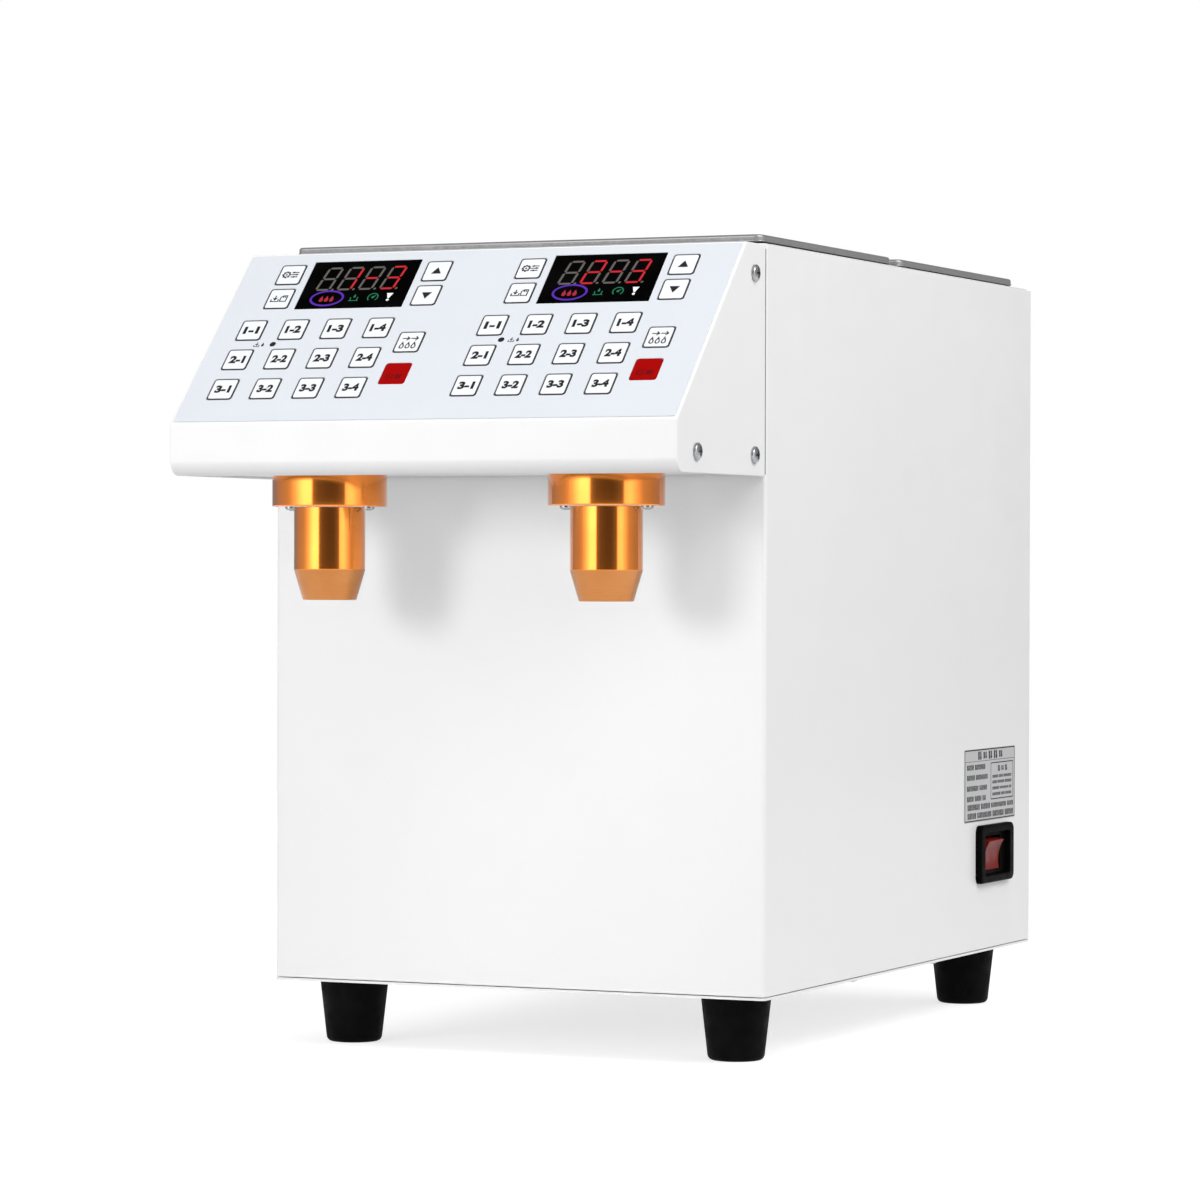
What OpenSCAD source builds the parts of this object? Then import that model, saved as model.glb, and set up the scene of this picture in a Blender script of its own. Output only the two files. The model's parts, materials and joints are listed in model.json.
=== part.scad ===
// Twin-head syrup dispenser: a sheet-steel cabinet on rubber feet holds two tanks that hang in its
// stainless deck under lift-off lids. Two pumps feed two nozzles under the sloped control head.
// The origin is the centre of the footprint on the table. +X is right, +Y is back and +Z is up.

/* [Cabinet] */
// Width of the painted cabinet and of the head
cabinet_w = 270; // [256:1:330]
// Depth of the painted cabinet behind the head
cabinet_d = 400; // [380:1:460]
// Thickness of the folded steel sheet
sheet_t = 1.2; // [0.8:0.1:1.6]
// Inside radius of the cabinet's upright bends
bend_r = 1; // [0.5:0.1:3]
// Width of the flanges folded inward at the shell's edges
flange_w = 14; // [12:0.5:17]
// Gap of the seam between the shell and the base pan
seam_gap = 0.5; // [0.2:0.1:1.5]
// Height of the base pan's inner upturned wall
pan_wall_h = 12; // [8:1:20]
// Strip of flange left bare around the rear cover
cover_inset = 4; // [3:0.5:6]
// Distance of the flange screws from the cabinet's sides
flange_screw_x = 9; // [7.5:0.5:9.5]
// Distance of the base pan's screws from the cabinet's front and back
pan_screw_y = 140; // [100:1:170]

/* [Feet] */
// Height of the rubber feet
foot_h = 33; // [26:1:45]
// Diameter of a foot under the base pan
foot_top_d = 35; // [30:0.5:44]
// Diameter of a foot at the table
foot_bottom_d = 28; // [24:0.5:40]
// Radius of a foot's lower rim
foot_rim_r = 3; // [1:0.5:5]
// Distance of a foot's axis from the cabinet's sides
foot_inset_x = 28.5; // [24:0.5:45]
// Distance of a foot's axis from the cabinet's front and back
foot_inset_y = 33; // [24:0.5:60]
// Depth of the screw pocket in a foot
foot_pocket_h = 20; // [10:1:22]

/* [Head] */
// Reach of the head in front of the cabinet
head_reach = 110; // [104:1:130]
// Height of the head's underside above the cabinet's lower edge
head_floor_h = 254; // [240:1:262]
// Bare strip of the slope above the displays
slope_margin = 6.9; // [6.5:0.1:12]
// Height of the upright nose below the slope
nose_h = 25; // [20:1:32]
// Radius of the bend under the nose
nose_r = 7; // [4:0.5:12]
// Width of the lip folded back under the nose
nose_lip = 10; // [6:1:16]
// Depth of the flat strip behind the slope
head_flat = 25.6; // [18:0.2:30]
// Gap between the head and the cabinet
head_gap = 1; // [0.3:0.1:1.5]
// Height of the head floor's side flanges
floor_flange_h = 20; // [16:1:24]
// Distance of the rear cheek screws in front of the cabinet
cheek_screw_y = 15.4; // [10:0.1:18]
// Distance of the front cheek screws behind the nose
cheek_screw_front = 23.1; // [16:0.1:30]
// Height of the lower cheek screws above the head's underside
cheek_screw_low = 10.2; // [8:0.1:14]
// Distance of the upper cheek screws below the head's top
cheek_screw_top = 14.7; // [12:0.1:20]
// Width of the tabs that take the upper cheek screws
tab_h = 20; // [16:1:22]
// Length of those tabs
tab_l = 28; // [24:1:32]
// Width of the opening through which the hoses pass into the head
window_w = 212; // [180:1:220]
// Height of that opening
window_h = 64; // [40:1:70]
// Height of that opening above the head's underside
window_up = 22; // [18:1:30]

/* [Keypads] */
// Distance of each keypad from the middle of its half, towards the centre
pad_shift = 1.2; // [0:0.1:2]
// Thickness of the keypad film
film_t = 0.5; // [0.3:0.1:0.8]
// Bare margin at each end of the film
film_margin = 1.4; // [1:0.2:3]
// Width of a key
key_w = 14; // [11:0.2:14.6]
// Length of a key along the slope
key_l = 14.6; // [12:0.2:15]
// Corner radius of a key
key_r = 1.3; // [0.8:0.1:2.5]
// Gap around a key in the film and in the panel
key_gap = 0.2; // [0.1:0.05:0.4]
// Height of a key above the film
key_rise = 0.2; // [0:0.1:0.6]
// Travel of a key
key_travel = 0.4; // [0.2:0.05:0.6]
// Width of the collar that keeps a key behind the panel
key_collar = 1; // [0.6:0.1:1.2]
// Thickness of that collar
key_collar_t = 1; // [0.6:0.1:1.4]
// Diameter of a key's stem
key_stem_d = 5; // [3:0.5:6]
// Distance between key columns
column_pitch = 23.5; // [22:0.1:24]
// Distance between key rows along the slope
row_pitch = 21; // [18:0.2:21.4]
// Distance of the first column left of the keypad's centre
first_column_x = 48; // [46:0.5:49]
// Distance of the lowest row from the slope's lower edge
low_row_v = 23.7; // [20:0.1:25]
// Distance of the keys beside the display from the keypad's centre
side_key_x = 40.8; // [39.5:0.1:42]
// Place of the upper keys beside the display, up the slope
upper_key_v = 105.9; // [105.1:0.1:108]
// Place of the lower keys beside the display, up the slope
lower_key_v = 88.4; // [86:0.1:88.6]
// Distance of the run and stop keys from the keypad's centre
run_key_x = 43.1; // [41:0.1:44]
// Place of the run key, up the slope
run_key_v = 55; // [53:0.5:62]
// Place of the stop key, up the slope
stop_key_v = 33; // [28:0.5:36]

/* [Display and boards] */
// Width of a display window
display_w = 59.8; // [54:0.2:62]
// Length of a display window along the slope
display_l = 34.6; // [30:0.2:36]
// Place of the display's centre, up the slope
display_v = 97.7; // [96:0.1:99]
// Gap around a display module in its window
display_gap = 0.3; // [0.1:0.1:0.6]
// Distance from the panel's inner face to the control board
board_gap = 9; // [8:0.5:12]
// Thickness of a control board
board_t = 1.6; // [1:0.2:2]
// Width of a control board
board_w = 120; // [119:0.5:126]
// Length of a control board along the slope
board_l = 110; // [108:0.5:112]
// Place of a board's lower edge, up the slope
board_v = 7; // [6:0.5:8]
// Side of a key switch on the board
tact_w = 6; // [5:0.5:8]
// Height of a key switch's case
tact_case_h = 3.5; // [2.5:0.1:3.8]
// Height of a key switch with its plunger
tact_h = 5; // [4.2:0.1:5.4]
// Diameter of a key switch's plunger
tact_d = 3.4; // [2.5:0.1:4.5]
// Diameter of the standoffs that carry a board
standoff_d = 5.5; // [4.6:0.1:6]
// Distance of a standoff from the board's edges
standoff_inset = 3.5; // [3:0.1:4]
// Thickness of the electronic parts on a board's back
chip_h = 9; // [4:0.5:10]
// Distance between the electronic parts
chip_pitch = 20; // [15:1:28]

/* [Nozzles] */
// Distance between the two nozzles
nozzle_pitch = 150; // [130:1:160]
// Distance of the nozzles in front of the cabinet
nozzle_reach = 56; // [50:1:62]
// Diameter of a nozzle collar
collar_d = 56.8; // [52:0.2:62]
// Height of a nozzle collar
collar_h = 16; // [12:0.5:20]
// Diameter of a nozzle's barrel
barrel_d = 35.3; // [32:0.1:36]
// Height of a nozzle's barrel
barrel_h = 31; // [24:0.5:40]
// Diameter of a nozzle's tip
tip_d = 26.5; // [22:0.1:30]
// Height of a nozzle's tapered tip
tip_h = 15; // [10:0.5:20]
// Diameter of a nozzle's bore
outlet_d = 8; // [6:0.5:9]
// Diameter of the spigot that passes through the collar
spigot_d = 24; // [20:0.5:26]
// Radius at which the collar's screws stand
collar_screw_r = 21.5; // [21:0.1:22.5]
// Running clearance of the spigot and of the nozzle's screws
spigot_fit = 0.1; // [0.05:0.05:0.3]

/* [Tanks and lids] */
// Distance of the lids from the cabinet's sides
lid_inset_x = 6; // [5.5:0.1:12]
// Distance of the front lid from the cabinet's front
lid_inset_front = 8.5; // [8:0.1:12]
// Distance of the rear lid from the cabinet's back
lid_inset_rear = 13.7; // [13:0.1:20]
// Gap between the two lids
lid_spacing = 12.2; // [10:0.2:20]
// Height of the lids' tops above the cabinet
lid_rise = 6.1; // [5.5:0.1:12]
// Thickness of the lid and tank sheet
steel_t = 1; // [0.6:0.1:1.2]
// Corner radius of a lid
lid_r = 5; // [3:0.5:9]
// Gap under a lid and around a tank's rim
lid_gap = 0.4; // [0.3:0.1:0.6]
// Thickness of the stainless deck
deck_t = 1; // [0.8:0.1:1.5]
// Distance of the deck's edges from the cabinet's sides, front and back
deck_inset = 1.8; // [1:0.1:4]
// Depth of a tank below the deck
tank_depth = 200; // [160:1:206]
// Width of the rim by which a tank hangs
tank_rim_w = 9.5; // [9:0.1:12]
// Corner radius of a tank
tank_r = 20; // [12:1:30]
// Length of a tank's outlet spout
spout_h = 14; // [10:1:18]
// Play of a tank in the deck
tank_play = 0.3; // [0.1:0.1:0.5]

/* [Pumps and power] */
// Distance between the two pumps
pump_pitch = 130; // [120:1:140]
// Height of the pump shafts above the base pan
shaft_h = 45; // [42:1:50]
// Distance of the pump bracket behind the front panel
bracket_y = 78; // [76:1:90]
// Width and height of a pump head
pump_w = 50; // [44:1:54]
// Length of a pump head
pump_l = 42; // [34:1:46]
// Diameter of a pump motor
motor_d = 54; // [44:1:58]
// Length of a pump motor
motor_l = 88; // [70:1:100]
// Thickness of a pump bracket
bracket_t = 2; // [1.5:0.1:3]
// Length of a pump bracket's foot
bracket_foot_l = 34; // [20:1:60]
// Rim of a pump bracket around its motor
bracket_rim = 3; // [2:0.5:5]
// Diameter of the boss that joins a motor to its pump
boss_d = 19.4; // [14:0.2:26]
// Outside diameter of the hoses
hose_d = 11; // [9:0.5:12]
// Length of a hose end that is pushed over a spout
hose_cuff = 10; // [6:0.5:12]
// Distance between a pump's inlet and outlet spouts
port_spacing = 20; // [16:0.5:28]
// Outside diameter of the hose spouts
barb_d = 7; // [6:0.5:8]
// Bore of the hose spouts
barb_bore = 5; // [3:0.5:5.5]
// Width of the power supply
supply_w = 150; // [130:1:159]
// Length of the power supply
supply_l = 98; // [80:1:104]
// Height of the power supply
supply_h = 42; // [34:1:50]
// Distance of the power supply from the rear flanges
supply_gap = 16; // [10:1:22]
// Width of a terminal ledge on the power supply
terminal_l = 12; // [8:1:16]
// Distance between the slots in the power supply's top
supply_slot_pitch = 11; // [8:0.5:12]
// Distance between the power supply and the inlet's case
supply_side_gap = 19; // [17:0.5:24]
// Distance of the power inlet right of the centre
inlet_x = 88; // [70:1:92]
// Height of the power inlet above the cabinet's lower edge
inlet_z = 60; // [50:1:90]
// Width of the power inlet's flange
inlet_flange_w = 50; // [44:0.5:54]
// Height of the power inlet's flange
inlet_flange_h = 24; // [23:0.5:28]
// Thickness of the power inlet's flange
inlet_proud = 3; // [2:0.5:4]
// Width of the opening for the plug
socket_w = 24; // [22:0.5:25]
// Height of the opening for the plug
socket_h = 16; // [14:0.5:17]
// Depth of the opening for the plug
socket_l = 17; // [14:0.5:18]
// Wall of the power inlet's case around that opening
inlet_wall = 1.8; // [1.2:0.1:2]
// Number of slots in each bank of rear vents
vent_count = 10; // [4:1:12]
// Height of the lowest rear vents above the cabinet's lower edge
vent_z = 154; // [110:1:200]
// Distance of the base pan's first slot from the cabinet's front
pan_vent_y = 168; // [140:1:190]
// Distance of the rear cover's end screws from its corners, upright
cover_screw_z = 18; // [12:1:40]
// Length of a vent slot
vent_l = 80; // [50:1:96]
// Distance between vent slots
vent_pitch = 8; // [7:0.5:9]
// Height of a vent slot
vent_h = 3.5; // [2:0.5:4.5]

/* [Power switch] */
// Distance of the switch behind the cabinet's front
switch_y = 335.2; // [320:0.2:345]
// Height of the switch above the cabinet's lower edge
switch_z = 52.2; // [46:0.2:80]
// Width of the switch's frame
switch_w = 55; // [48:0.5:60]
// Height of the switch's frame
switch_h = 32; // [31:0.5:40]
// Thickness of the switch's frame outside the cabinet
switch_proud = 3.5; // [2.5:0.1:6]
// Corner radius of the switch's frame
switch_r = 4; // [2:0.5:6]
// Width of the shallow recess in the frame
recess_w = 41; // [34:0.5:44]
// Height of the shallow recess in the frame
recess_h = 23.5; // [23:0.1:26]
// Depth of the shallow recess
recess_l = 4; // [3:0.2:5]
// Width of the rocker
rocker_w = 24; // [20:0.5:28]
// Radius of the rocker's ends around its pivot
rocker_r = 9.2; // [8.5:0.1:10.4]
// Depth of the pivot below the floor of the recess
pivot_depth = 4.5; // [4.2:0.1:5.5]
// Radius of the hollow in the rocker's face
rocker_hollow_r = 26; // [22:1:40]
// Tilt of the rocker either way
rocker_tilt = 10; // [6:1:12]
// Clearance around the rocker
rocker_gap = 0.3; // [0.2:0.05:0.5]
// Diameter of the rocker's pivot pins
pivot_d = 3; // [2:0.1:4]
// Length of the rocker's pivot pins
pivot_l = 2.5; // [1.5:0.1:3]
// Running clearance of the pivot pins
pivot_fit = 0.05; // [0.03:0.01:0.1]
// Depth of the switch's case behind the panel
case_l = 20; // [18:1:26]
// Wall of the switch's case beside the rocker
case_wall = 3.5; // [3:0.1:4]
// Wall of the switch's case above and below the rocker
case_end = 2.6; // [1.5:0.1:3]

/* [Screws] */
// Thread diameter of the panel screws
screw_d = 4; // [3:0.5:5]
// Length of the panel screws
screw_l = 8; // [6:0.5:10]
// Head diameter of the panel screws
screw_head_d = 8.4; // [6.5:0.1:9.5]
// Head height of the panel screws
screw_head_h = 2.4; // [1.6:0.1:3]
// Thread diameter of the small screws
small_screw_d = 3; // [2:0.5:3.5]
// Head diameter of the small screws
small_head_d = 6; // [4.5:0.1:6.6]
// Head height of the small screws
small_head_h = 1.9; // [1.4:0.1:2.6]
// Clearance around a screw
screw_fit = 0.1; // [0.05:0.05:0.25]

/* [Hidden] */
$fn = 48;
seat = 0.02;                   // overlap where one sub-part's own solids join
cut = 1;                       // extra length of a cutting solid
pan_t = sheet_t;
rear_proud = sheet_t + max(inlet_proud, screw_head_h);
slope_l = display_v + display_l / 2 + slope_margin;   // length of the sloped panel
slope_run = head_reach - head_flat;
slope_a = acos(slope_run / slope_l);
slope_rise = slope_l * sin(slope_a);
head_h = nose_h + slope_rise;
cabinet_h = head_floor_h + head_h;    // its top is level with the head's

// Main planes
front_y = (head_reach - cabinet_d - rear_proud) / 2;
back_y = front_y + cabinet_d;
pan_z = foot_h;                // underside of the base pan
floor_z = foot_h + pan_t;      // top of the base pan
base_z = floor_z + seam_gap;   // lower edge of the shell
top_z = base_z + cabinet_h;
half_w = cabinet_w / 2;
inner_half_w = half_w - sheet_t;

// Head
head_z = base_z + head_floor_h;
head_floor_z = head_z + sheet_t;      // underside of the head's floor plate
fold_gap = 0.2;                       // gap between overlapping folded sheets
upper_screw = [-cheek_screw_y, head_h - cheek_screw_top];
lower_rear_screw = [-cheek_screw_y, cheek_screw_low];
lower_front_screw = [cheek_screw_front - head_reach, cheek_screw_low];
pad_x = half_w / 2 - pad_shift;       // distance of a keypad from the centre

// Keys: name, place across the keypad and place up the slope
SIDES = [["left", -1], ["right", 1]];
KEYS = concat(
    [for (row = [1:3], column = [1:4])
        [str(row, "_", column),
         (column - 1) * column_pitch - first_column_x,
         low_row_v + (3 - row) * row_pitch]],
    [["set", -side_key_x, upper_key_v],
     ["save", -side_key_x, lower_key_v],
     ["up", side_key_x, upper_key_v],
     ["down", side_key_x, lower_key_v],
     ["run", run_key_x, run_key_v],
     ["stop", run_key_x, stop_key_v]]
);
key_play = 0.3;                // gap between a key's collar and the panel
board_z = -sheet_t - board_gap;   // front face of a control board, below the slope
standoff_x = board_w / 2 - standoff_inset;
standoff_v = [board_v + standoff_inset, board_v + board_l - standoff_inset];

// Nozzles
collar_z = head_floor_z - collar_h;
barrel_z = collar_z - barrel_h;
tip_z = barrel_z - tip_h;
spigot_h = 8;                  // height of the spigot above the head's floor
spigot_top = head_floor_z + sheet_t + spigot_h;
barb_l = 14;                   // length of a hose spout
nozzle_y = front_y - nozzle_reach;

// Tanks and lids
lid_w = cabinet_w - 2 * lid_inset_x;
lid_l = (cabinet_d - lid_inset_front - lid_inset_rear - lid_spacing) / 2;
lid_y = [front_y + lid_inset_front + lid_l / 2,
         back_y - lid_inset_rear - lid_l / 2];
lid_z = top_z + lid_rise;
rim_w = lid_w - 2 * steel_t - 2 * lid_gap;
rim_l = lid_l - 2 * steel_t - 2 * lid_gap;
rim_r = lid_r - steel_t - lid_gap;
tank_w = rim_w - 2 * tank_rim_w;
tank_l = rim_l - 2 * tank_rim_w;
tank_z = top_z + deck_t - tank_depth;
spout_x = pump_pitch / 2;

// Pumps, one per tank: left for the front tank, right for the rear tank
shaft_z = floor_z + shaft_h;
pump_y = front_y + bracket_y - bracket_t - pump_l / 2;
pump_top = shaft_z + pump_w / 2;
boss_fit = 0.3;                // clearance around a motor's boss
port_h = 12;                   // length of a pump spout
port_z = pump_top + port_h;
supply_y = back_y - sheet_t - supply_gap - supply_l / 2;
case_back = 7;                 // thickness of the inlet's case behind its opening
inlet_case = [socket_w + 2 * inlet_wall, socket_l + case_back, socket_h + 2 * inlet_wall];
supply_x = inlet_x - inlet_case[0] / 2 - supply_side_gap - supply_w / 2;

// Hose routes: how far each curve runs straight on from its end before it turns
short_bend = 26;
long_bend = 60;
rise_gap = 9;                     // between the front panel and the upright run behind it
rise_y = front_y + sheet_t + rise_gap;
rise_z = port_z + 80;             // where that run starts
arch_z = head_z + 30;             // where it turns forward into the head
barb_fit = 0.05;                  // clearance of a hose end on its spout

// Power switch
switch_pos = [half_w, front_y + switch_y, base_z + switch_z];
pivot_x = switch_proud - recess_l - pivot_depth;   // pivot of the rocker, outward from the panel
case_w = rocker_w + 2 * (rocker_gap + case_wall);
well_h = 2 * (rocker_r + rocker_gap);   // height of the well that the rocker turns in
case_h = well_h + 2 * case_end;

// ---------- outlines ----------

function arc(x, y, r, from, to, steps = 6) =
    [for (i = [0:steps]) let (a = from + (to - from) * i / steps) [x + r * cos(a), y + r * sin(a)]];

function round_rect(w, l, r, steps = 6) = concat(
    arc(w / 2 - r, l / 2 - r, r, 0, 90, steps),
    arc(r - w / 2, l / 2 - r, r, 90, 180, steps),
    arc(r - w / 2, r - l / 2, r, 180, 270, steps),
    arc(w / 2 - r, r - l / 2, r, 270, 360, steps));

// Side view of the head, t inside its outer faces: Y from the cabinet's front, Z from the underside
function head_outline(t, rear) = concat(
    [[rear, t], [rear, head_h - t],
     [t * tan(slope_a / 2) - head_flat, head_h - t],
     [t - head_reach, nose_h - t * tan(45 - slope_a / 2)]],
    arc(nose_r - head_reach, nose_r, nose_r - t, 180, 270, 10));

// ---------- placing ----------

// X across the head, Y up the slope and Z out of it, from the middle of the slope's lower edge
module on_slope() {
    translate([0, front_y - head_reach, head_z + nose_h]) rotate([slope_a, 0, 0]) children();
}

module on_pad(side) {
    on_slope() translate([side * pad_x, 0, 0]) children();
}

// An outline drawn in Y and Z, extruded along +X
module across(x, l) {
    translate([x, 0, 0]) rotate([90, 0, 90]) linear_extrude(l) children();
}

// Z runs out of the cabinet's right side at the power switch
module at_switch() {
    translate(switch_pos) rotate([90, 0, 90]) children();
}

module block(w, l, h, r, steps = 6) {
    linear_extrude(h) polygon(round_rect(w, l, r, steps));
}

module centred(size, z = 0) {
    translate([-size[0] / 2, -size[1] / 2, z]) cube(size);
}

// A slot with round ends, l long and w wide
module slot(l, w, h) {
    block(l, w, h, w / 2 - 0.05);
}

// ---------- fasteners ----------

// A pan head screw with a cross recess; its head stands on Z = 0 and its thread runs down
module screw(d, l, head_d, head_h) {
    lead = 0.4;                // chamfer at the thread's end
    rim_h = head_h * 0.35;     // upright rim of the head
    difference() {
        rotate_extrude() polygon(concat(
            [[0, -l], [d / 2 - lead, -l], [d / 2, lead - l], [d / 2, 0], [head_d / 2, 0],
             [head_d / 2, rim_h]],
            [for (a = [15:15:90]) [head_d / 2 * cos(a), rim_h + (head_h - rim_h) * sin(a)]]));
        for (a = [0, 90]) rotate([0, 0, a]) centred([head_d * 0.55, head_d * 0.13, head_h], rim_h * 1.3);
    }
}

module panel_screw(l = screw_l) screw(screw_d, l, screw_head_d, screw_head_h);
module small_screw(l) screw(small_screw_d, l, small_head_d, small_head_h);
module screw_hole(d, l = 40) cylinder(d = d + 2 * screw_fit, h = l, center = true, $fn = 24);

// Places of the cheek screws on both sides of the head
module at_cheek_screws(places) {
    for (side = [-1, 1], p = places)
        translate([side * half_w, front_y + p[0], head_z + p[1]]) rotate([0, side * 90, 0]) children();
}

module at_feet() {
    for (x = [-1, 1], y = [foot_inset_y, cabinet_d - foot_inset_y])
        translate([x * (half_w - foot_inset_x), front_y + y, 0]) children();
}

// Places of the screws that join the base pan to the shell's lower flanges
module at_pan_screws() {
    for (x = [-1, 1], y = [pan_screw_y, cabinet_d - pan_screw_y])
        translate([x * (half_w - flange_screw_x), front_y + y, pan_z]) children();
}

module at_cover_screws() {
    for (x = [-1, 1], z = [cover_screw_z, cabinet_h / 2, cabinet_h - cover_screw_z])
        translate([x * (half_w - flange_screw_x), back_y + sheet_t, base_z + z])
            rotate([-90, 0, 0]) children();
}

module at_nozzles() {
    for (side = [-1, 1]) translate([side * nozzle_pitch / 2, nozzle_y, 0]) children();
}

module at_collar_screws() {
    at_nozzles() for (side = [-1, 1]) translate([side * collar_screw_r, 0, collar_z]) children();
}

module at_board_screws() {
    for (side = [-1, 1], x = [-1, 1], v = standoff_v)
        on_pad(side) translate([x * standoff_x, v, board_z - board_t]) children();
}

// ---------- cabinet ----------

module shell_ring(z) {
    translate([0, front_y + cabinet_d / 2, z]) linear_extrude(sheet_t) difference() {
        polygon(round_rect(cabinet_w - sheet_t, cabinet_d - sheet_t, bend_r));
        square([cabinet_w - 2 * flange_w, cabinet_d - 2 * flange_w], center = true);
    }
}

module shell_walls() {
    outer_r = bend_r + sheet_t;
    translate([0, front_y + cabinet_d / 2, base_z]) linear_extrude(cabinet_h) difference() {
        polygon(round_rect(cabinet_w, cabinet_d, outer_r));
        polygon(round_rect(cabinet_w - 2 * sheet_t, cabinet_d - 2 * sheet_t, bend_r));
        translate([flange_w - half_w, 0]) square([cabinet_w - 2 * flange_w, cabinet_d]);
    }
}

// Tabs on the front panel that take the head's upper screws
module head_tabs() {
    for (side = [-1, 1])
        translate([side * (inner_half_w - fold_gap - sheet_t / 2), front_y - tab_l,
                   head_z + upper_screw[1]])
            translate([-sheet_t / 2, 0, -tab_h / 2]) cube([sheet_t, tab_l + sheet_t / 2, tab_h]);
}

module cabinet_shell() {
    color("white") difference() {
        union() {
            shell_walls();
            shell_ring(base_z);
            shell_ring(top_z - sheet_t);
            head_tabs();
        }
        translate([-window_w / 2, front_y - cut, head_z + window_up])
            cube([window_w, sheet_t + 2 * cut, window_h]);
        at_switch() centred([case_w + 2 * rocker_gap, case_h + 2 * rocker_gap, 2 * sheet_t + 2 * cut],
                            -sheet_t - cut);
        at_cheek_screws([upper_screw]) screw_hole(screw_d);
        at_pan_screws() screw_hole(screw_d);
        at_cover_screws() screw_hole(screw_d, 2 * screw_l);
    }
}

module inlet_cutout(grow) {
    translate([inlet_x, back_y, base_z + inlet_z])
        centred([inlet_case[0] + 2 * grow, 4 * sheet_t + 4, inlet_case[2] + 2 * grow],
                -inlet_case[2] / 2 - grow);
}

module rear_cover() {
    cover_w = cabinet_w - 2 * cover_inset;
    cover_h = cabinet_h - 2 * cover_inset;
    color("white") difference() {
        translate([0, back_y + sheet_t, base_z + cabinet_h / 2]) rotate([90, 0, 0])
            block(cover_w, cover_h, sheet_t, 3);
        for (x = [-1, 1], i = [0:vent_count - 1])
            translate([x * cover_w / 4, back_y, base_z + vent_z + i * vent_pitch])
                rotate([90, 0, 0]) translate([0, 0, -2 * sheet_t]) slot(vent_l, vent_h, 4 * sheet_t);
        inlet_cutout(0.3);
        at_cover_screws() screw_hole(screw_d, 2 * screw_l);
    }
}

// A bracket that a motor and its pump share, one on each side
module pump_bracket(side) {
    bracket_w = motor_d + 2 * bracket_rim;
    translate([side * pump_pitch / 2, front_y + bracket_y, floor_z]) difference() {
        translate([-bracket_w / 2, -bracket_t, -seat]) union() {
            cube([bracket_w, bracket_t, shaft_h + bracket_w / 2]);
            cube([bracket_w, bracket_foot_l, bracket_t]);
        }
        translate([0, 0, shaft_h]) rotate([90, 0, 0])
            cylinder(d = boss_d + 2 * boss_fit, h = 3 * bracket_t, center = true);
    }
}

module pan_walls() {
    wall_w = cabinet_w - 2 * (sheet_t + fold_gap);
    wall_l = cabinet_d - 2 * (sheet_t + fold_gap);
    translate([0, front_y + cabinet_d / 2, floor_z - seat]) linear_extrude(pan_wall_h + seat)
        difference() {
            square([wall_w - 2 * flange_w, wall_l - 2 * flange_w], center = true);
            square([wall_w - 2 * (flange_w + sheet_t), wall_l - 2 * (flange_w + sheet_t)], center = true);
        }
}

module base_pan() {
    color("gainsboro") difference() {
        union() {
            translate([0, front_y + cabinet_d / 2, pan_z])
                block(cabinet_w, cabinet_d, pan_t, bend_r + sheet_t);
            pan_walls();
            for (side = [-1, 1]) pump_bracket(side);
        }
        at_feet() translate([0, 0, pan_z]) screw_hole(screw_d);
        at_pan_screws() screw_hole(screw_d);
        for (i = [0:7]) translate([0, front_y + pan_vent_y + i * vent_pitch, pan_z - cut])
            slot(vent_l, vent_h, pan_t + 2 * cut);
    }
}

module rubber_feet() {
    neck_r = screw_d / 2 + screw_fit;
    pocket_r = screw_head_d / 2 + 1;
    bottom_r = foot_bottom_d / 2;
    color([0.12, 0.12, 0.12]) at_feet() rotate_extrude() polygon(concat(
        [[pocket_r, 0], [pocket_r, foot_pocket_h], [neck_r, foot_pocket_h], [neck_r, foot_h],
         [foot_top_d / 2, foot_h], [foot_top_d / 2, foot_h - 2]],
        arc(bottom_r - foot_rim_r, foot_rim_r, foot_rim_r, 0, -90, 8)));
}

// ---------- deck, tanks and lids ----------

module top_deck() {
    color("silver") difference() {
        translate([0, front_y + cabinet_d / 2, top_z])
            block(cabinet_w - 2 * deck_inset, cabinet_d - 2 * deck_inset, deck_t, 3);
        for (y = lid_y) translate([0, y, top_z - cut])
            block(tank_w + 2 * tank_play, tank_l + 2 * tank_play, deck_t + 2 * cut, tank_r + tank_play);
    }
}

module lid(y) {
    skirt_z = top_z + deck_t + lid_gap;
    lid_h = lid_z - skirt_z;
    color("silver") translate([0, y, skirt_z]) difference() {
        block(lid_w, lid_l, lid_h, lid_r);
        translate([0, 0, -cut])
            block(lid_w - 2 * steel_t, lid_l - 2 * steel_t, lid_h - steel_t + cut, lid_r - steel_t);
    }
}

// A tank hangs by its rim on the deck, and its wall stands up under the lid
module tank(y, spout_side) {
    wall_h = lid_z - steel_t - lid_gap - tank_z;
    color("silver") translate([0, y, 0]) difference() {
        union() {
            translate([0, 0, tank_z]) block(tank_w, tank_l, wall_h, tank_r);
            translate([0, 0, top_z + deck_t]) block(rim_w, rim_l, steel_t, rim_r);
            translate([spout_side * spout_x, 0, tank_z - spout_h])
                cylinder(d = barb_d, h = spout_h + steel_t / 2);
        }
        translate([0, 0, tank_z + steel_t])
            block(tank_w - 2 * steel_t, tank_l - 2 * steel_t, wall_h, tank_r - steel_t);
        translate([spout_side * spout_x, 0, tank_z - spout_h - cut])
            cylinder(d = barb_bore, h = spout_h + 2 * steel_t + cut + cut);
    }
}

module front_lid() lid(lid_y[0]);
module rear_lid() lid(lid_y[1]);
module front_tank() tank(lid_y[0], -1);
module rear_tank() tank(lid_y[1], 1);

// ---------- head ----------

module key_outline(key, grow) {
    translate([key[1], key[2]])
        polygon(round_rect(key_w + 2 * grow, key_l + 2 * grow, key_r + grow, 4));
}

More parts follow.
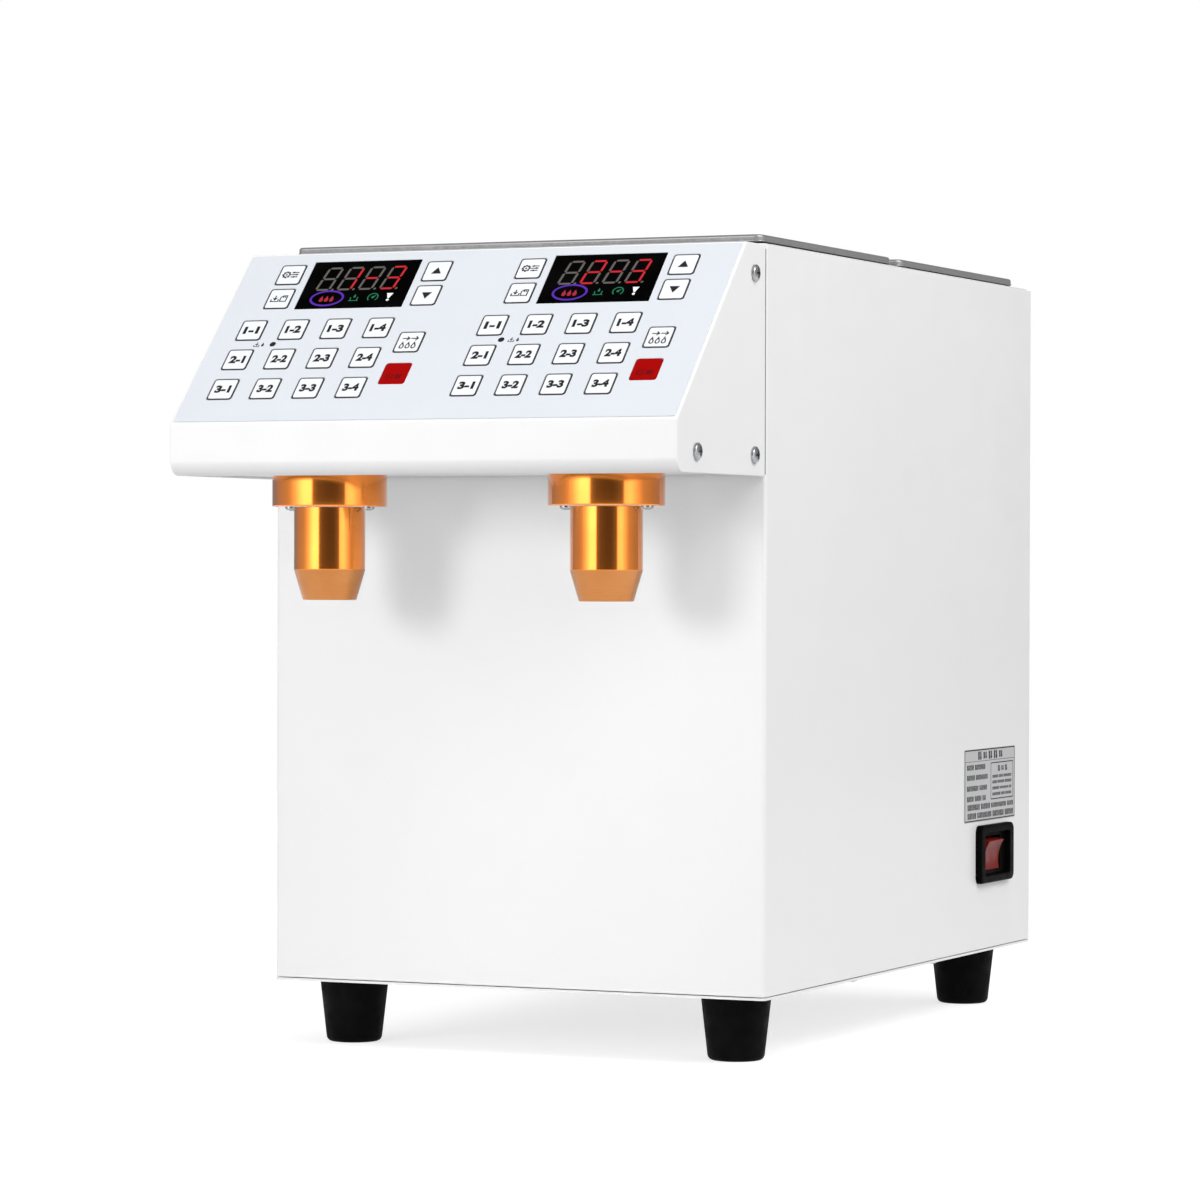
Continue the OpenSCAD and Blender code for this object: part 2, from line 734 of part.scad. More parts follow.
// Openings of both keypads, from bottom to top along the slope's normal
module keypad_windows(bottom, top) {
    for (side = SIDES) on_pad(side[1]) translate([0, 0, bottom]) linear_extrude(top - bottom) {
        for (key = KEYS) key_outline(key, key_gap);
        translate([0, display_v]) square([display_w, display_l], center = true);
    }
}

module head_casing() {
    color("white") difference() {
        translate([0, front_y, head_z]) {
            across(sheet_t - half_w - seat, 2 * (inner_half_w + seat)) difference() {
                polygon(head_outline(0, -head_gap));
                polygon(head_outline(sheet_t, cut));
                translate([nose_r + nose_lip - head_reach, -cut])
                    square([head_reach, sheet_t + 2 * cut]);
            }
            for (x = [-half_w, inner_half_w]) across(x, sheet_t) polygon(head_outline(0, -head_gap));
        }
        keypad_windows(-sheet_t - cut, cut);
        at_cheek_screws([upper_screw, lower_rear_screw, lower_front_screw]) screw_hole(screw_d);
    }
    color("white") for (side = [-1, 1], x = [-1, 1], v = standoff_v) on_pad(side)
        translate([x * standoff_x, v, board_z]) difference() {
            cylinder(d = standoff_d, h = board_gap + seat, $fn = 24);
            translate([0, 0, -cut])
                cylinder(d = small_screw_d + 2 * screw_fit, h = board_gap + cut, $fn = 24);
        }
}

module head_floor() {
    side_x = inner_half_w - fold_gap;
    front_edge = sheet_t + fold_gap - head_reach;
    rear_edge = -head_gap;
    color("white") difference() {
        translate([0, front_y, 0]) union() {
            translate([-side_x, front_edge + nose_r, head_floor_z])
                cube([2 * side_x, rear_edge - front_edge - nose_r, sheet_t]);
            for (x = [-side_x, side_x - sheet_t])
                translate([x, front_edge + nose_r, head_floor_z])
                    cube([sheet_t, rear_edge - front_edge - nose_r, floor_flange_h]);
            translate([-side_x, rear_edge - sheet_t, head_floor_z])
                cube([2 * side_x, sheet_t, floor_flange_h]);
        }
        at_nozzles() translate([0, 0, head_floor_z - cut])
            cylinder(d = spigot_d + 2 * spigot_fit, h = sheet_t + 2 * cut);
        at_collar_screws() translate([0, 0, collar_h]) screw_hole(small_screw_d, 20);
        at_cheek_screws([lower_rear_screw, lower_front_screw]) screw_hole(screw_d);
    }
}

module keypad_film() {
    color([0.9, 0.93, 0.97]) difference() {
        on_slope() translate([0, slope_l / 2, 0])
            block(cabinet_w - 2 * film_margin, slope_l - 2 * film_margin, film_t, 1);
        keypad_windows(-cut, film_t + cut);
    }
}

module key_cap(side, key) {
    stem_end = board_z + tact_h + key_travel + 0.1;
    collar_top = -sheet_t - key_play;
    color(key[0] == "stop" ? "red" : "white") on_pad(side) {
        translate([0, 0, collar_top - seat]) linear_extrude(film_t + key_rise - collar_top + seat)
            key_outline(key, 0);
        translate([0, 0, collar_top - key_collar_t]) linear_extrude(key_collar_t)
            key_outline(key, key_collar);
        translate([key[1], key[2], stem_end])
            cylinder(d = key_stem_d, h = collar_top - key_collar_t - stem_end + seat, $fn = 24);
    }
}

module display_modules() {
    color([0.05, 0.05, 0.05]) for (side = SIDES) on_pad(side[1]) translate([0, display_v, board_z])
        centred([display_w - 2 * display_gap, display_l - 2 * display_gap, film_t - board_z]);
}

module control_boards() {
    for (side = SIDES) on_pad(side[1]) {
        color([0.1, 0.4, 0.2]) difference() {
            translate([0, board_v + board_l / 2, board_z - board_t]) centred([board_w, board_l, board_t]);
            for (x = [-1, 1], v = standoff_v) translate([x * standoff_x, v, board_z])
                screw_hole(small_screw_d, 3 * board_t + 2);
        }
        color([0.2, 0.2, 0.2]) for (key = KEYS) translate([key[1], key[2], board_z - seat]) {
            centred([tact_w, tact_w, tact_case_h + seat]);
            cylinder(d = tact_d, h = tact_h + seat, $fn = 24);
        }
        color([0.2, 0.2, 0.2]) for (i = [-1, 0, 1])
            translate([-board_w / 4, board_v + board_l / 2 + i * chip_pitch, board_z - board_t - chip_h])
                centred([18, 14, chip_h + seat]);
    }
}

// ---------- nozzles ----------

module nozzle_collars() {
    chamfer = 0.6;
    color([0.85, 0.55, 0.15]) difference() {
        at_nozzles() translate([0, 0, collar_z]) rotate_extrude() polygon([
            [spigot_d / 2 + spigot_fit, 0], [collar_d / 2 - chamfer, 0], [collar_d / 2, chamfer],
            [collar_d / 2, collar_h - chamfer], [collar_d / 2 - chamfer, collar_h],
            [spigot_d / 2 + spigot_fit, collar_h]]);
        at_collar_screws() screw_hole(small_screw_d, 2 * collar_h + 2 * cut);
    }
}

module nozzles() {
    color([0.85, 0.55, 0.15]) at_nozzles() rotate_extrude() polygon([
        [outlet_d / 2 + 1.5, tip_z], [tip_d / 2, tip_z], [barrel_d / 2, barrel_z],
        [barrel_d / 2, collar_z - 0.4], [barrel_d / 2 - 0.4, collar_z], [spigot_d / 2, collar_z],
        [spigot_d / 2, spigot_top], [barb_d / 2, spigot_top], [barb_d / 2, spigot_top + barb_l],
        [barb_bore / 2, spigot_top + barb_l], [barb_bore / 2, collar_z], [outlet_d / 2, collar_z],
        [outlet_d / 2, tip_z + 1.5]]);
}

// ---------- screws ----------

module machine_screws() {
    color("gray") {
        at_cheek_screws([upper_screw, lower_rear_screw, lower_front_screw]) panel_screw();
        at_cover_screws() panel_screw();
        at_pan_screws() rotate([180, 0, 0]) panel_screw();
        at_feet() translate([0, 0, foot_pocket_h]) rotate([180, 0, 0])
            panel_screw(foot_h - foot_pocket_h + pan_t + 4);
        at_collar_screws() rotate([180, 0, 0]) small_screw(collar_h + 2 * sheet_t);
        at_board_screws() rotate([180, 0, 0]) small_screw(board_t + 5);
    }
}

// ---------- power switch ----------

module switch_housing() {
    well_bottom = pivot_x - rocker_r;
    blade_l = 8;               // length of the terminals behind the case
    color([0.08, 0.08, 0.08]) at_switch() difference() {
        union() {
            block(switch_w, switch_h, switch_proud, switch_r, 8);
            centred([case_w, case_h, case_l + seat], -case_l);
            for (y = [-8, 8]) translate([y, 0, -case_l - blade_l]) centred([0.8, 4.8, blade_l + seat]);
        }
        translate([0, 0, switch_proud - recess_l])
            block(recess_w, recess_h, recess_l + cut, 1.5);
        centred([rocker_w + 2 * rocker_gap, well_h, switch_proud - well_bottom + cut], well_bottom);
        translate([0, 0, pivot_x]) rotate([0, 90, 0])
            cylinder(d = pivot_d + 2 * pivot_fit, h = rocker_w + 2 * (pivot_l + rocker_gap + 0.3),
                     center = true, $fn = 32);
    }
}

// At rest the rocker's lower end is pressed in, as it is with the power on
module switch_rocker() {
    face = 4;                  // distance of the face's edges from the pivot
    back = 3.5;                // distance of the flat back from the pivot
    dip = 1.8;                 // depth of the hollow at its middle
    color("red") at_switch() translate([0, 0, pivot_x]) rotate([rocker_tilt, 0, 0]) {
        intersection() {
            rotate([0, 90, 0]) cylinder(r = rocker_r, h = rocker_w, center = true);
            difference() {
                centred([rocker_w + 2, 2 * rocker_r + 2, face + back], -back);
                translate([0, 0, face - dip + rocker_hollow_r]) rotate([0, 90, 0])
                    cylinder(r = rocker_hollow_r, h = rocker_w + 4, center = true, $fn = 96);
            }
        }
        rotate([0, 90, 0]) cylinder(d = pivot_d, h = rocker_w + 2 * pivot_l, center = true, $fn = 32);
    }
}

// ---------- pumps, hoses and power ----------

// A gear pump head: its inlet and outlet spouts stand on top, the outlet in front
module pumps() {
    color("silver") for (side = [-1, 1]) translate([side * pump_pitch / 2, pump_y, shaft_z]) {
        difference() {
            union() {
                rotate([90, 0, 0]) translate([0, 0, -pump_l / 2]) block(pump_w, pump_w, pump_l, 8);
                for (y = [-1, 1]) translate([0, y * port_spacing / 2, 0])
                    cylinder(d = barb_d, h = pump_w / 2 + port_h);
            }
            for (y = [-1, 1]) translate([0, y * port_spacing / 2, pump_w / 4])
                cylinder(d = barb_bore, h = pump_w / 4 + port_h + cut);
        }
    }
}

module pump_motors() {
    bearing_d = 30;            // bearing housing at the motor's end
    bearing_l = 6;
    color("dimgray") for (side = [-1, 1])
        translate([side * pump_pitch / 2, front_y + bracket_y, shaft_z]) rotate([-90, 0, 0]) {
            cylinder(d = motor_d, h = motor_l);
            translate([0, 0, motor_l - seat]) cylinder(d = bearing_d, h = bearing_l);
            translate([0, 0, -bracket_t]) cylinder(d = boss_d, h = bracket_t + seat);
        }
}

// A point of a cubic curve from a to b, whose ends run along u and v
function curve(a, u, v, b, t) =
    a * pow(1 - t, 3) + 3 * (a + u) * t * pow(1 - t, 2) + 3 * (b + v) * t * t * (1 - t) + b * t * t * t;

function curve_points(a, u, v, b, n) = [for (i = [0:n]) curve(a, u, v, b, i / n)];

// A tube swept along points, its rings square to the route
module tube(points, d, sides = 10) {
    n = len(points);
    dirs = [for (i = [0:n - 1])
        let (p = points[max(i - 1, 0)], q = points[min(i + 1, n - 1)]) (q - p) / norm(q - p)];
    rings = [for (i = [0:n - 1])
        let (w = dirs[i], e = cross(w, [1, 0, 0.02]), f = e / norm(e), g = cross(w, f))
            for (k = [0:sides - 1]) let (a = 360 * k / sides)
                points[i] + d / 2 * (f * cos(a) + g * sin(a))];
    quads = [for (i = [0:n - 2], k = [0:sides - 1]) let (m = (k + 1) % sides)
        for (f = [[i * sides + k, (i + 1) * sides + m, i * sides + m],
                  [i * sides + k, (i + 1) * sides + k, (i + 1) * sides + m]]) f];
    polyhedron(rings, concat([[for (k = [0:sides - 1]) k]], quads,
                             [[for (k = [sides - 1:-1:0]) (n - 1) * sides + k]]));
}

// The end of a hose, over a spout that runs up from Z = 0
module cuff() {
    difference() {
        translate([0, 0, -seat]) cylinder(d = hose_d, h = hose_cuff + seat, $fn = 24);
        cylinder(d = barb_d + 2 * barb_fit, h = hose_cuff + cut, $fn = 24);
    }
}

// From a tank's spout down to the inlet of its pump
module suction_hose(side, tank_y, bend) {
    from = [side * spout_x, tank_y, tank_z - spout_h];
    to = [side * pump_pitch / 2, pump_y + port_spacing / 2, port_z];
    tube(curve_points(from, [0, 0, -bend], [0, 0, bend], to, 20), hose_d);
    translate(from) cuff();
    translate(to) mirror([0, 0, 1]) cuff();
}

// From the outlet of a pump up behind the front panel, and over into the nozzle
module delivery_hose(side) {
    x = side * pump_pitch / 2;
    from = [x, pump_y - port_spacing / 2, port_z];
    low = [x, rise_y, rise_z];
    high = [x, rise_y, arch_z];
    to = [side * nozzle_pitch / 2, nozzle_y, spigot_top + barb_l];
    tube(concat(
        curve_points(from, [0, 0, short_bend], [0, 0, -short_bend], low, 10),
        curve_points(high, [0, 0, short_bend], [0, 0, short_bend], to, 14)), hose_d);
    for (end = [from, to]) translate(end) mirror([0, 0, 1]) cuff();
}

module hoses() {
    color([0.85, 0.85, 0.8]) {
        suction_hose(-1, lid_y[0], short_bend);
        suction_hose(1, lid_y[1], long_bend);
        for (side = [-1, 1]) delivery_hose(side);
    }
}

module power_supply() {
    ledge_h = 12;              // height of the terminal ledge
    slot_w = 4;
    slot_l = 2;                // depth of the slots in its top
    first = -supply_w / 2 + 20;
    color("silver") translate([supply_x, supply_y, floor_z]) difference() {
        centred([supply_w, supply_l, supply_h]);
        translate([supply_w / 2 - terminal_l, -supply_l / 2 - cut, ledge_h])
            cube([terminal_l + cut, supply_l + 2 * cut, supply_h]);
        for (i = [0:9]) translate([first + i * supply_slot_pitch, 0, supply_h - slot_l])
            rotate([0, 0, 90]) slot(supply_l * 0.6, slot_w, slot_l + cut);
    }
}

module power_inlet() {
    pin = [2, socket_l + case_back, 4];
    pin_pitch = 7;
    pin_depth = 2;             // distance of the pins' ends behind the cover's face
    translate([inlet_x, back_y + sheet_t, base_z + inlet_z]) {
        color([0.08, 0.08, 0.08]) difference() {
            union() {
                translate([0, seat - inlet_case[1] / 2, 0]) centred(inlet_case, -inlet_case[2] / 2);
                rotate([-90, 0, 0]) block(inlet_flange_w, inlet_flange_h, inlet_proud, 6);
            }
            translate([0, inlet_proud + cut - (socket_l + cut) / 2, 0])
                centred([socket_w, socket_l + cut, socket_h], -socket_h / 2);
        }
        color("silver") for (x = [-1, 0, 1])
            translate([x * pin_pitch, -pin_depth - pin[1] / 2, x == 0 ? 3 : -2]) centred(pin, -pin[2] / 2);
    }
}

// ---------- sub-parts ----------

cabinet_shell();
rear_cover();
base_pan();
rubber_feet();
top_deck();
front_lid();
rear_lid();
front_tank();
rear_tank();
head_casing();
head_floor();
keypad_film();
display_modules();
control_boards();
nozzle_collars();
nozzles();
machine_screws();
switch_housing();
switch_rocker();
pumps();
pump_motors();
hoses();
power_supply();
power_inlet();
for (side = SIDES, key = KEYS)
    key_cap(side[1], key);
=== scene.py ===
"""The looks of a two-headed syrup dispenser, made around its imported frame.

Lengths are in metres and +X is right, +Y is back and +Z is up, as in the frame. A new piece is a surface
worked out with numpy: rings of points that are lofted, a profile turned round an axis, or a ribbon along a
line.
"""
import json
import math

import bmesh
import bpy
import numpy as np
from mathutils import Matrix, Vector


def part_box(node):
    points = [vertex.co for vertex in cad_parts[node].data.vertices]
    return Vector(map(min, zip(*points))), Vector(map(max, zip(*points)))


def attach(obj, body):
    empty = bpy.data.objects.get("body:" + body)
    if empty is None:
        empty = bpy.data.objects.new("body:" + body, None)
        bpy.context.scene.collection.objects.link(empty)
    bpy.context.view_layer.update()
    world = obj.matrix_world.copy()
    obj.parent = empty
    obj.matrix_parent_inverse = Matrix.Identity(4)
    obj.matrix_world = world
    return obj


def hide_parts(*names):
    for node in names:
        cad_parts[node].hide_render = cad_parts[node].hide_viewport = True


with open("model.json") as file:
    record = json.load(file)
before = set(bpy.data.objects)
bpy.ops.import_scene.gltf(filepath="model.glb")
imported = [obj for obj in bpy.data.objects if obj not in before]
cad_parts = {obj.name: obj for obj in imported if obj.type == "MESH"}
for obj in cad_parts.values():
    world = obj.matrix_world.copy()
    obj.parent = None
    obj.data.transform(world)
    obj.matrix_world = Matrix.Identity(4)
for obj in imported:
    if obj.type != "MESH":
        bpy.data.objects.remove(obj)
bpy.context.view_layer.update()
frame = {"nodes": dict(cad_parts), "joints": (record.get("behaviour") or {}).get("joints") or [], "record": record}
MM = 0.001
MAIN_BODY = "cabinet"
SHARP_EDGE = math.radians(30)


# ---------------- shapes
# A shape is (points, faces, material numbers of the faces).


def rounded_ring(width, length, radius, steps=8):
    """A rounded rectangle in X and Y: four quarter circles of one radius round centres inside its corners."""
    angle = np.linspace(0, math.pi / 2, steps + 1)
    quarter = np.stack([np.cos(angle), np.sin(angle)], 1) * radius
    centre = np.array([width / 2 - radius, length / 2 - radius])
    sides = []
    for turn, sign in enumerate([(1, 1), (-1, 1), (-1, -1), (1, -1)]):
        c, s = math.cos(turn * math.pi / 2), math.sin(turn * math.pi / 2)
        sides.append(quarter @ np.array([[c, s], [-s, c]]) + centre * sign)
    return np.concatenate(sides)


def level(ring, height):
    """The ring's points at one height."""
    return np.column_stack([ring, np.full(len(ring), height)])


def loft(rings, cap_first=False, cap_last=False, colours=None):
    """Quads between neighbouring rings of equally many points. colours gives each band's material number."""
    rings = np.asarray(rings, float)
    rows, count = rings.shape[:2]
    row, column = np.meshgrid(np.arange(rows - 1) * count, np.arange(count), indexing="ij")
    after, next_column = row + count, (column + 1) % count
    quads = np.stack([row + column, row + next_column, after + next_column, after + column], -1)
    faces = quads.reshape(-1, 4).tolist()
    marks = np.repeat([0] * (rows - 1) if colours is None else colours, count).tolist()
    if cap_first:
        faces.append(list(range(count))[::-1])
        marks.append(marks[0])
    if cap_last:
        faces.append([(rows - 1) * count + k for k in range(count)])
        marks.append(marks[-1])
    return rings.reshape(-1, 3), faces, marks


def turned(profile, steps=96, colours=None):
    """A profile of (radius, height) points turned round Z: x = r cos a, y = r sin a, z = h."""
    profile = np.asarray(profile, float)
    angle = np.linspace(0, 2 * math.pi, steps, endpoint=False)
    rings = np.empty((len(profile), steps, 3))
    rings[:, :, 0] = profile[:, :1] * np.cos(angle)
    rings[:, :, 1] = profile[:, :1] * np.sin(angle)
    rings[:, :, 2] = profile[:, 1:2]
    return loft(rings, colours=colours)


def softened(corners, radius, steps=4):
    """An open line of (r, h) corners, each inner corner replaced by a quadratic curve of that reach."""
    corners = np.asarray(corners, float)
    line = [corners[0]]
    for before, corner, after in zip(corners, corners[1:], corners[2:]):
        reach_in = min(radius, np.linalg.norm(corner - before) / 2)
        reach_out = min(radius, np.linalg.norm(after - corner) / 2)
        start = corner + (before - corner) / np.linalg.norm(before - corner) * reach_in
        end = corner + (after - corner) / np.linalg.norm(after - corner) * reach_out
        t = np.linspace(0, 1, steps + 1)[:, None]
        line.extend(start * (1 - t) ** 2 + 2 * corner * t * (1 - t) + end * t**2)
    line.append(corners[-1])
    return np.array(line)


def ribbon(line, width, closed=False):
    """A flat band along a line in X and Y: each point moves half the width both ways along its mitre, which
    is cut short at very sharp corners."""
    line = np.asarray(line, float)
    if closed:
        before, after = np.roll(line, 1, 0), np.roll(line, -1, 0)
    else:
        before = np.vstack([2 * line[0] - line[1], line[:-1]])
        after = np.vstack([line[1:], 2 * line[-1] - line[-2]])
    into = (line - before) / np.linalg.norm(line - before, axis=1)[:, None]
    out = (after - line) / np.linalg.norm(after - line, axis=1)[:, None]
    across = np.stack([-(into + out)[:, 1], (into + out)[:, 0]], 1)
    across /= np.linalg.norm(across, axis=1)[:, None]
    side = np.stack([-into[:, 1], into[:, 0]], 1)
    reach = width / 2 / np.clip((across * side).sum(1), 0.35, None)
    points = np.concatenate([line + across * reach[:, None], line - across * reach[:, None]])
    n = len(line)
    spans = n if closed else n - 1
    faces = [[i + n, (i + 1) % n + n, (i + 1) % n, i] for i in range(spans)]
    return level(points, 0), faces, [0] * spans


def flat(outline, mark=0):
    """One flat face inside an outline that runs anticlockwise."""
    return level(np.asarray(outline, float), 0), [list(range(len(outline)))], [mark]


def circle(radius, steps=32, start=0.0, sweep=2 * math.pi, centre=(0, 0)):
    """Points of a circle or arc: centre + radius (cos a, sin a)."""
    angle = start + np.linspace(0, sweep, steps, endpoint=abs(sweep) < 2 * math.pi - 1e-6)
    return np.stack([np.cos(angle), np.sin(angle)], 1) * radius + np.asarray(centre, float)


def moved(shape, shift=(0, 0, 0), scale=1.0):
    """The shape scaled about the origin, then shifted."""
    points, faces, marks = shape
    return points * np.asarray(scale) + np.asarray(shift, float), faces, marks


def marked(shape, number):
    """The shape with one material number on all its faces."""
    return shape[0], shape[1], [number] * len(shape[1])


def joined(shapes):
    """All the shapes as one, their faces renumbered."""
    points, faces, marks, start = [], [], [], 0
    for p, f, m in shapes:
        points.append(p)
        faces += [[i + start for i in face] for face in f]
        marks += list(m)
        start += len(p)
    return np.concatenate(points), faces, marks


def placed(shape, origin, x_axis, y_axis, z_axis):
    """The shape carried from its own axes to a place: origin + x X + y Y + z Z."""
    points, faces, marks = shape
    axes = np.array([x_axis, y_axis, z_axis], float)
    return points @ axes + np.asarray(origin, float), faces, marks


def lettering(text, height, width, weight):
    """Flat, centred figures in the built-in typeface, thickened by weight and drawn out to that size."""
    curve = bpy.data.curves.new("figures", "FONT")
    curve.body = text
    curve.offset = weight
    curve.resolution_u = 6
    carrier = bpy.data.objects.new("figures", curve)
    bpy.context.scene.collection.objects.link(carrier)
    bpy.context.view_layer.update()
    mesh = carrier.evaluated_get(bpy.context.evaluated_depsgraph_get()).to_mesh()
    points = np.array([v.co[:] for v in mesh.vertices], float)
    faces = [list(p.vertices) for p in mesh.polygons]
    bpy.data.objects.remove(carrier)
    bpy.data.curves.remove(curve)
    low, high = points.min(0), points.max(0)
    stretch = np.array([width / (high[0] - low[0]), height / (high[1] - low[1]), 0])
    return (points - (low + high) / 2) * stretch, faces, [0] * len(faces)


def dress(obj, materials, body, replaced=()):
    """Gives a mesh object its finishes, and says which body carries it and which CAD nodes it stands for."""
    for finish in materials if isinstance(materials, (list, tuple)) else [materials]:
        obj.data.materials.append(finish)
    bpy.context.scene.collection.objects.link(obj)
    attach(obj, body)
    if replaced:
        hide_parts(*replaced)
    return obj


def piece(name, shape, materials, body, replaced=()):
    """A mesh object from a shape, smooth but for its sharp edges, riding on its body."""
    points, faces, marks = shape
    mesh = bpy.data.meshes.new(name)
    mesh.from_pydata(points.tolist(), [], faces)
    mesh.polygons.foreach_set("material_index", np.asarray(marks, np.int32))
    mesh.validate()
    mesh.shade_smooth()
    mesh.set_sharp_from_angle(angle=SHARP_EDGE)
    return dress(bpy.data.objects.new(name, mesh), materials, body, replaced)


def folded_sheet(node, name, radius, bends, material):
    """A CAD node's sheet with real bends: its doubles are merged and its flat faces joined, then each convex
    edge that bends(middle, length) picks gives way to an arc of that radius."""
    sheet = bmesh.new()
    sheet.from_mesh(frame["nodes"][node].data)
    bmesh.ops.remove_doubles(sheet, verts=sheet.verts, dist=0.001 * MM)
    bmesh.ops.dissolve_limit(sheet, angle_limit=math.radians(0.5), verts=sheet.verts, edges=sheet.edges)
    picked = []
    for edge in sheet.edges:
        if len(edge.link_faces) == 2 and edge.is_convex and edge.calc_face_angle() > math.radians(25):
            ends = np.array([v.co[:] for v in edge.verts])
            if bends(ends.mean(0), edge.calc_length()):
                picked.append(edge)
    bmesh.ops.bevel(sheet, geom=picked, offset=radius, offset_type="OFFSET", segments=4, profile=0.5,
                    affect="EDGES", clamp_overlap=True)
    mesh = bpy.data.meshes.new(name)
    sheet.to_mesh(mesh)
    sheet.free()
    mesh.shade_smooth()
    mesh.set_sharp_from_angle(angle=SHARP_EDGE)
    obj = dress(bpy.data.objects.new(name, mesh), material, MAIN_BODY, [node])
    obj.modifiers.new("even shading", "WEIGHTED_NORMAL").keep_sharp = True
    return obj


# ---------------- finishes


class Finish:
    """A node material that is built up from one Principled shader on Object coordinates."""

    def __init__(self, name, colour, roughness, metallic=0.0, **sockets):
        self.material = bpy.data.materials.new(name)
        self.material.use_nodes = True
        self.nodes = self.material.node_tree.nodes
        self.links = self.material.node_tree.links
        self.shader = self.nodes["Principled BSDF"]
        self.colour = (*colour, 1.0)
        self.roughness = roughness
        self.shader.inputs["Base Color"].default_value = self.colour
        self.shader.inputs["Roughness"].default_value = roughness
        self.shader.inputs["Metallic"].default_value = metallic
        for socket, value in sockets.items():
            self.shader.inputs[socket.replace("_", " ")].default_value = value
        self.place = self.nodes.new("ShaderNodeTexCoord").outputs["Object"]
        self.bumps = None

    def stretched(self, scale):
        """Object coordinates scaled along each axis."""
        mapping = self.nodes.new("ShaderNodeMapping")
        mapping.inputs["Scale"].default_value = scale
        self.links.new(self.place, mapping.inputs["Vector"])
        return mapping.outputs["Vector"]

    def noise(self, scale, detail=3.0, stretch=None):
        """A noise of that many features per metre."""
        noise = self.nodes.new("ShaderNodeTexNoise")
        noise.inputs["Scale"].default_value = scale
        noise.inputs["Detail"].default_value = detail
        self.links.new(self.stretched(stretch) if stretch else self.place, noise.inputs["Vector"])
        return noise.outputs["Fac"]

    def ramp(self, factor, low, high, low_value, high_value):
        """Maps the factor's stretch low to high onto two numbers."""
        ramp = self.nodes.new("ShaderNodeMapRange")
        for socket, value in zip(range(1, 5), (low, high, low_value, high_value)):
            ramp.inputs[socket].default_value = value
        self.links.new(factor, ramp.inputs[0])
        return ramp.outputs[0]

    def vary_colour(self, factor, other, low=0.35, high=0.65):
        """Blends the base colour towards another where the factor is high."""
        mix = self.nodes.new("ShaderNodeMix")
        mix.data_type = "RGBA"
        mix.inputs["A"].default_value = self.colour
        mix.inputs["B"].default_value = (*other, 1.0)
        before = self.shader.inputs["Base Color"].links
        if before:
            self.links.new(before[0].from_socket, mix.inputs["A"])
        self.links.new(self.ramp(factor, low, high, 0.0, 1.0), mix.inputs["Factor"])
        self.links.new(mix.outputs["Result"], self.shader.inputs["Base Color"])
        return self

    def vary_roughness(self, factor, low_value, high_value, low=0.35, high=0.65):
        """Runs the roughness from one number to another as the factor rises."""
        self.links.new(self.ramp(factor, low, high, low_value, high_value), self.shader.inputs["Roughness"])
        return self

    def bump(self, factor, height, strength=1.0):
        """Raises the surface by the factor times a height in metres; bumps add up."""
        bump = self.nodes.new("ShaderNodeBump")
        bump.inputs["Strength"].default_value = strength
        bump.inputs["Distance"].default_value = height
        self.links.new(factor, bump.inputs["Height"])
        if self.bumps:
            self.links.new(self.bumps, bump.inputs["Normal"])
        self.bumps = bump.outputs["Normal"]
        self.links.new(self.bumps, self.shader.inputs["Normal"])
        return self


def powder_coat(name, colour):
    """White powder coat: a faint orange peel of about 1 mm and a slow drift of tone."""
    coat = Finish(name, colour, 0.4, Coat_Weight=0.15, Coat_Roughness=0.12)
    coat.vary_colour(coat.noise(9, 2), [c * 0.985 for c in colour])
    coat.vary_roughness(coat.noise(60, 4), 0.34, 0.44)
    return coat.bump(coat.noise(900, 2), 0.02 * MM, 0.35).material


def brushed_steel(name, colour=(0.43, 0.43, 0.44), along=(4, 900, 900), gloss=(0.38, 0.52)):
    """Brushed stainless steel: long thin streaks across the object, in tone, gloss and relief."""
    steel = Finish(name, colour, sum(gloss) / 2, metallic=1.0, Anisotropic=0.3)
    streak = steel.noise(1.0, 5, along)
    steel.vary_colour(streak, [c * 0.86 for c in colour], 0.3, 0.7)
    steel.vary_roughness(streak, *gloss, 0.3, 0.7)
    return steel.bump(streak, 0.01 * MM, 0.4).material


def anodised(name, colour, roughness=0.12, coat=0.8):
    """Bright anodised aluminium: hair-fine turning lines round the axis and a slight drift of colour."""
    gold = Finish(name, colour, roughness, metallic=1.0, Coat_Weight=coat, Coat_Roughness=0.1)
    turning = gold.noise(1.0, 3, (2, 2, 9000))
    gold.vary_colour(gold.noise(70, 3), [colour[0] * 0.96, colour[1] * 0.9, colour[2] * 0.8])
    gold.vary_roughness(turning, roughness * 0.85, roughness * 1.2, 0.3, 0.7)
    return gold.bump(turning, 0.002 * MM, 0.2).material


def moulded(name, colour, roughness, grain=2600, depth=0.02 * MM, **sockets):
    """Moulded plastic or rubber: a fine spark-eroded grain with duller and glossier patches."""
    plastic = Finish(name, colour, roughness, **sockets)
    plastic.vary_colour(plastic.noise(45, 4), [min(1.0, c * 1.25 + 0.002) for c in colour], 0.4, 0.75)
    plastic.vary_roughness(plastic.noise(160, 4), roughness * 0.85, min(1.0, roughness * 1.2))
    return plastic.bump(plastic.noise(grain, 2), depth, 0.4).material


def printed_film(name, colour, roughness=0.42, gloss=0.5):
    """Screen-printed polyester: a fine satin texture under an even ink."""
    film = Finish(name, colour, roughness, Specular_IOR_Level=gloss)
    film.vary_colour(film.noise(30, 2), [c * 0.985 for c in colour])
    film.vary_roughness(film.noise(240, 3), roughness * 0.88, roughness * 1.12)
    return film.bump(film.noise(5200, 1), 0.006 * MM, 0.4).material


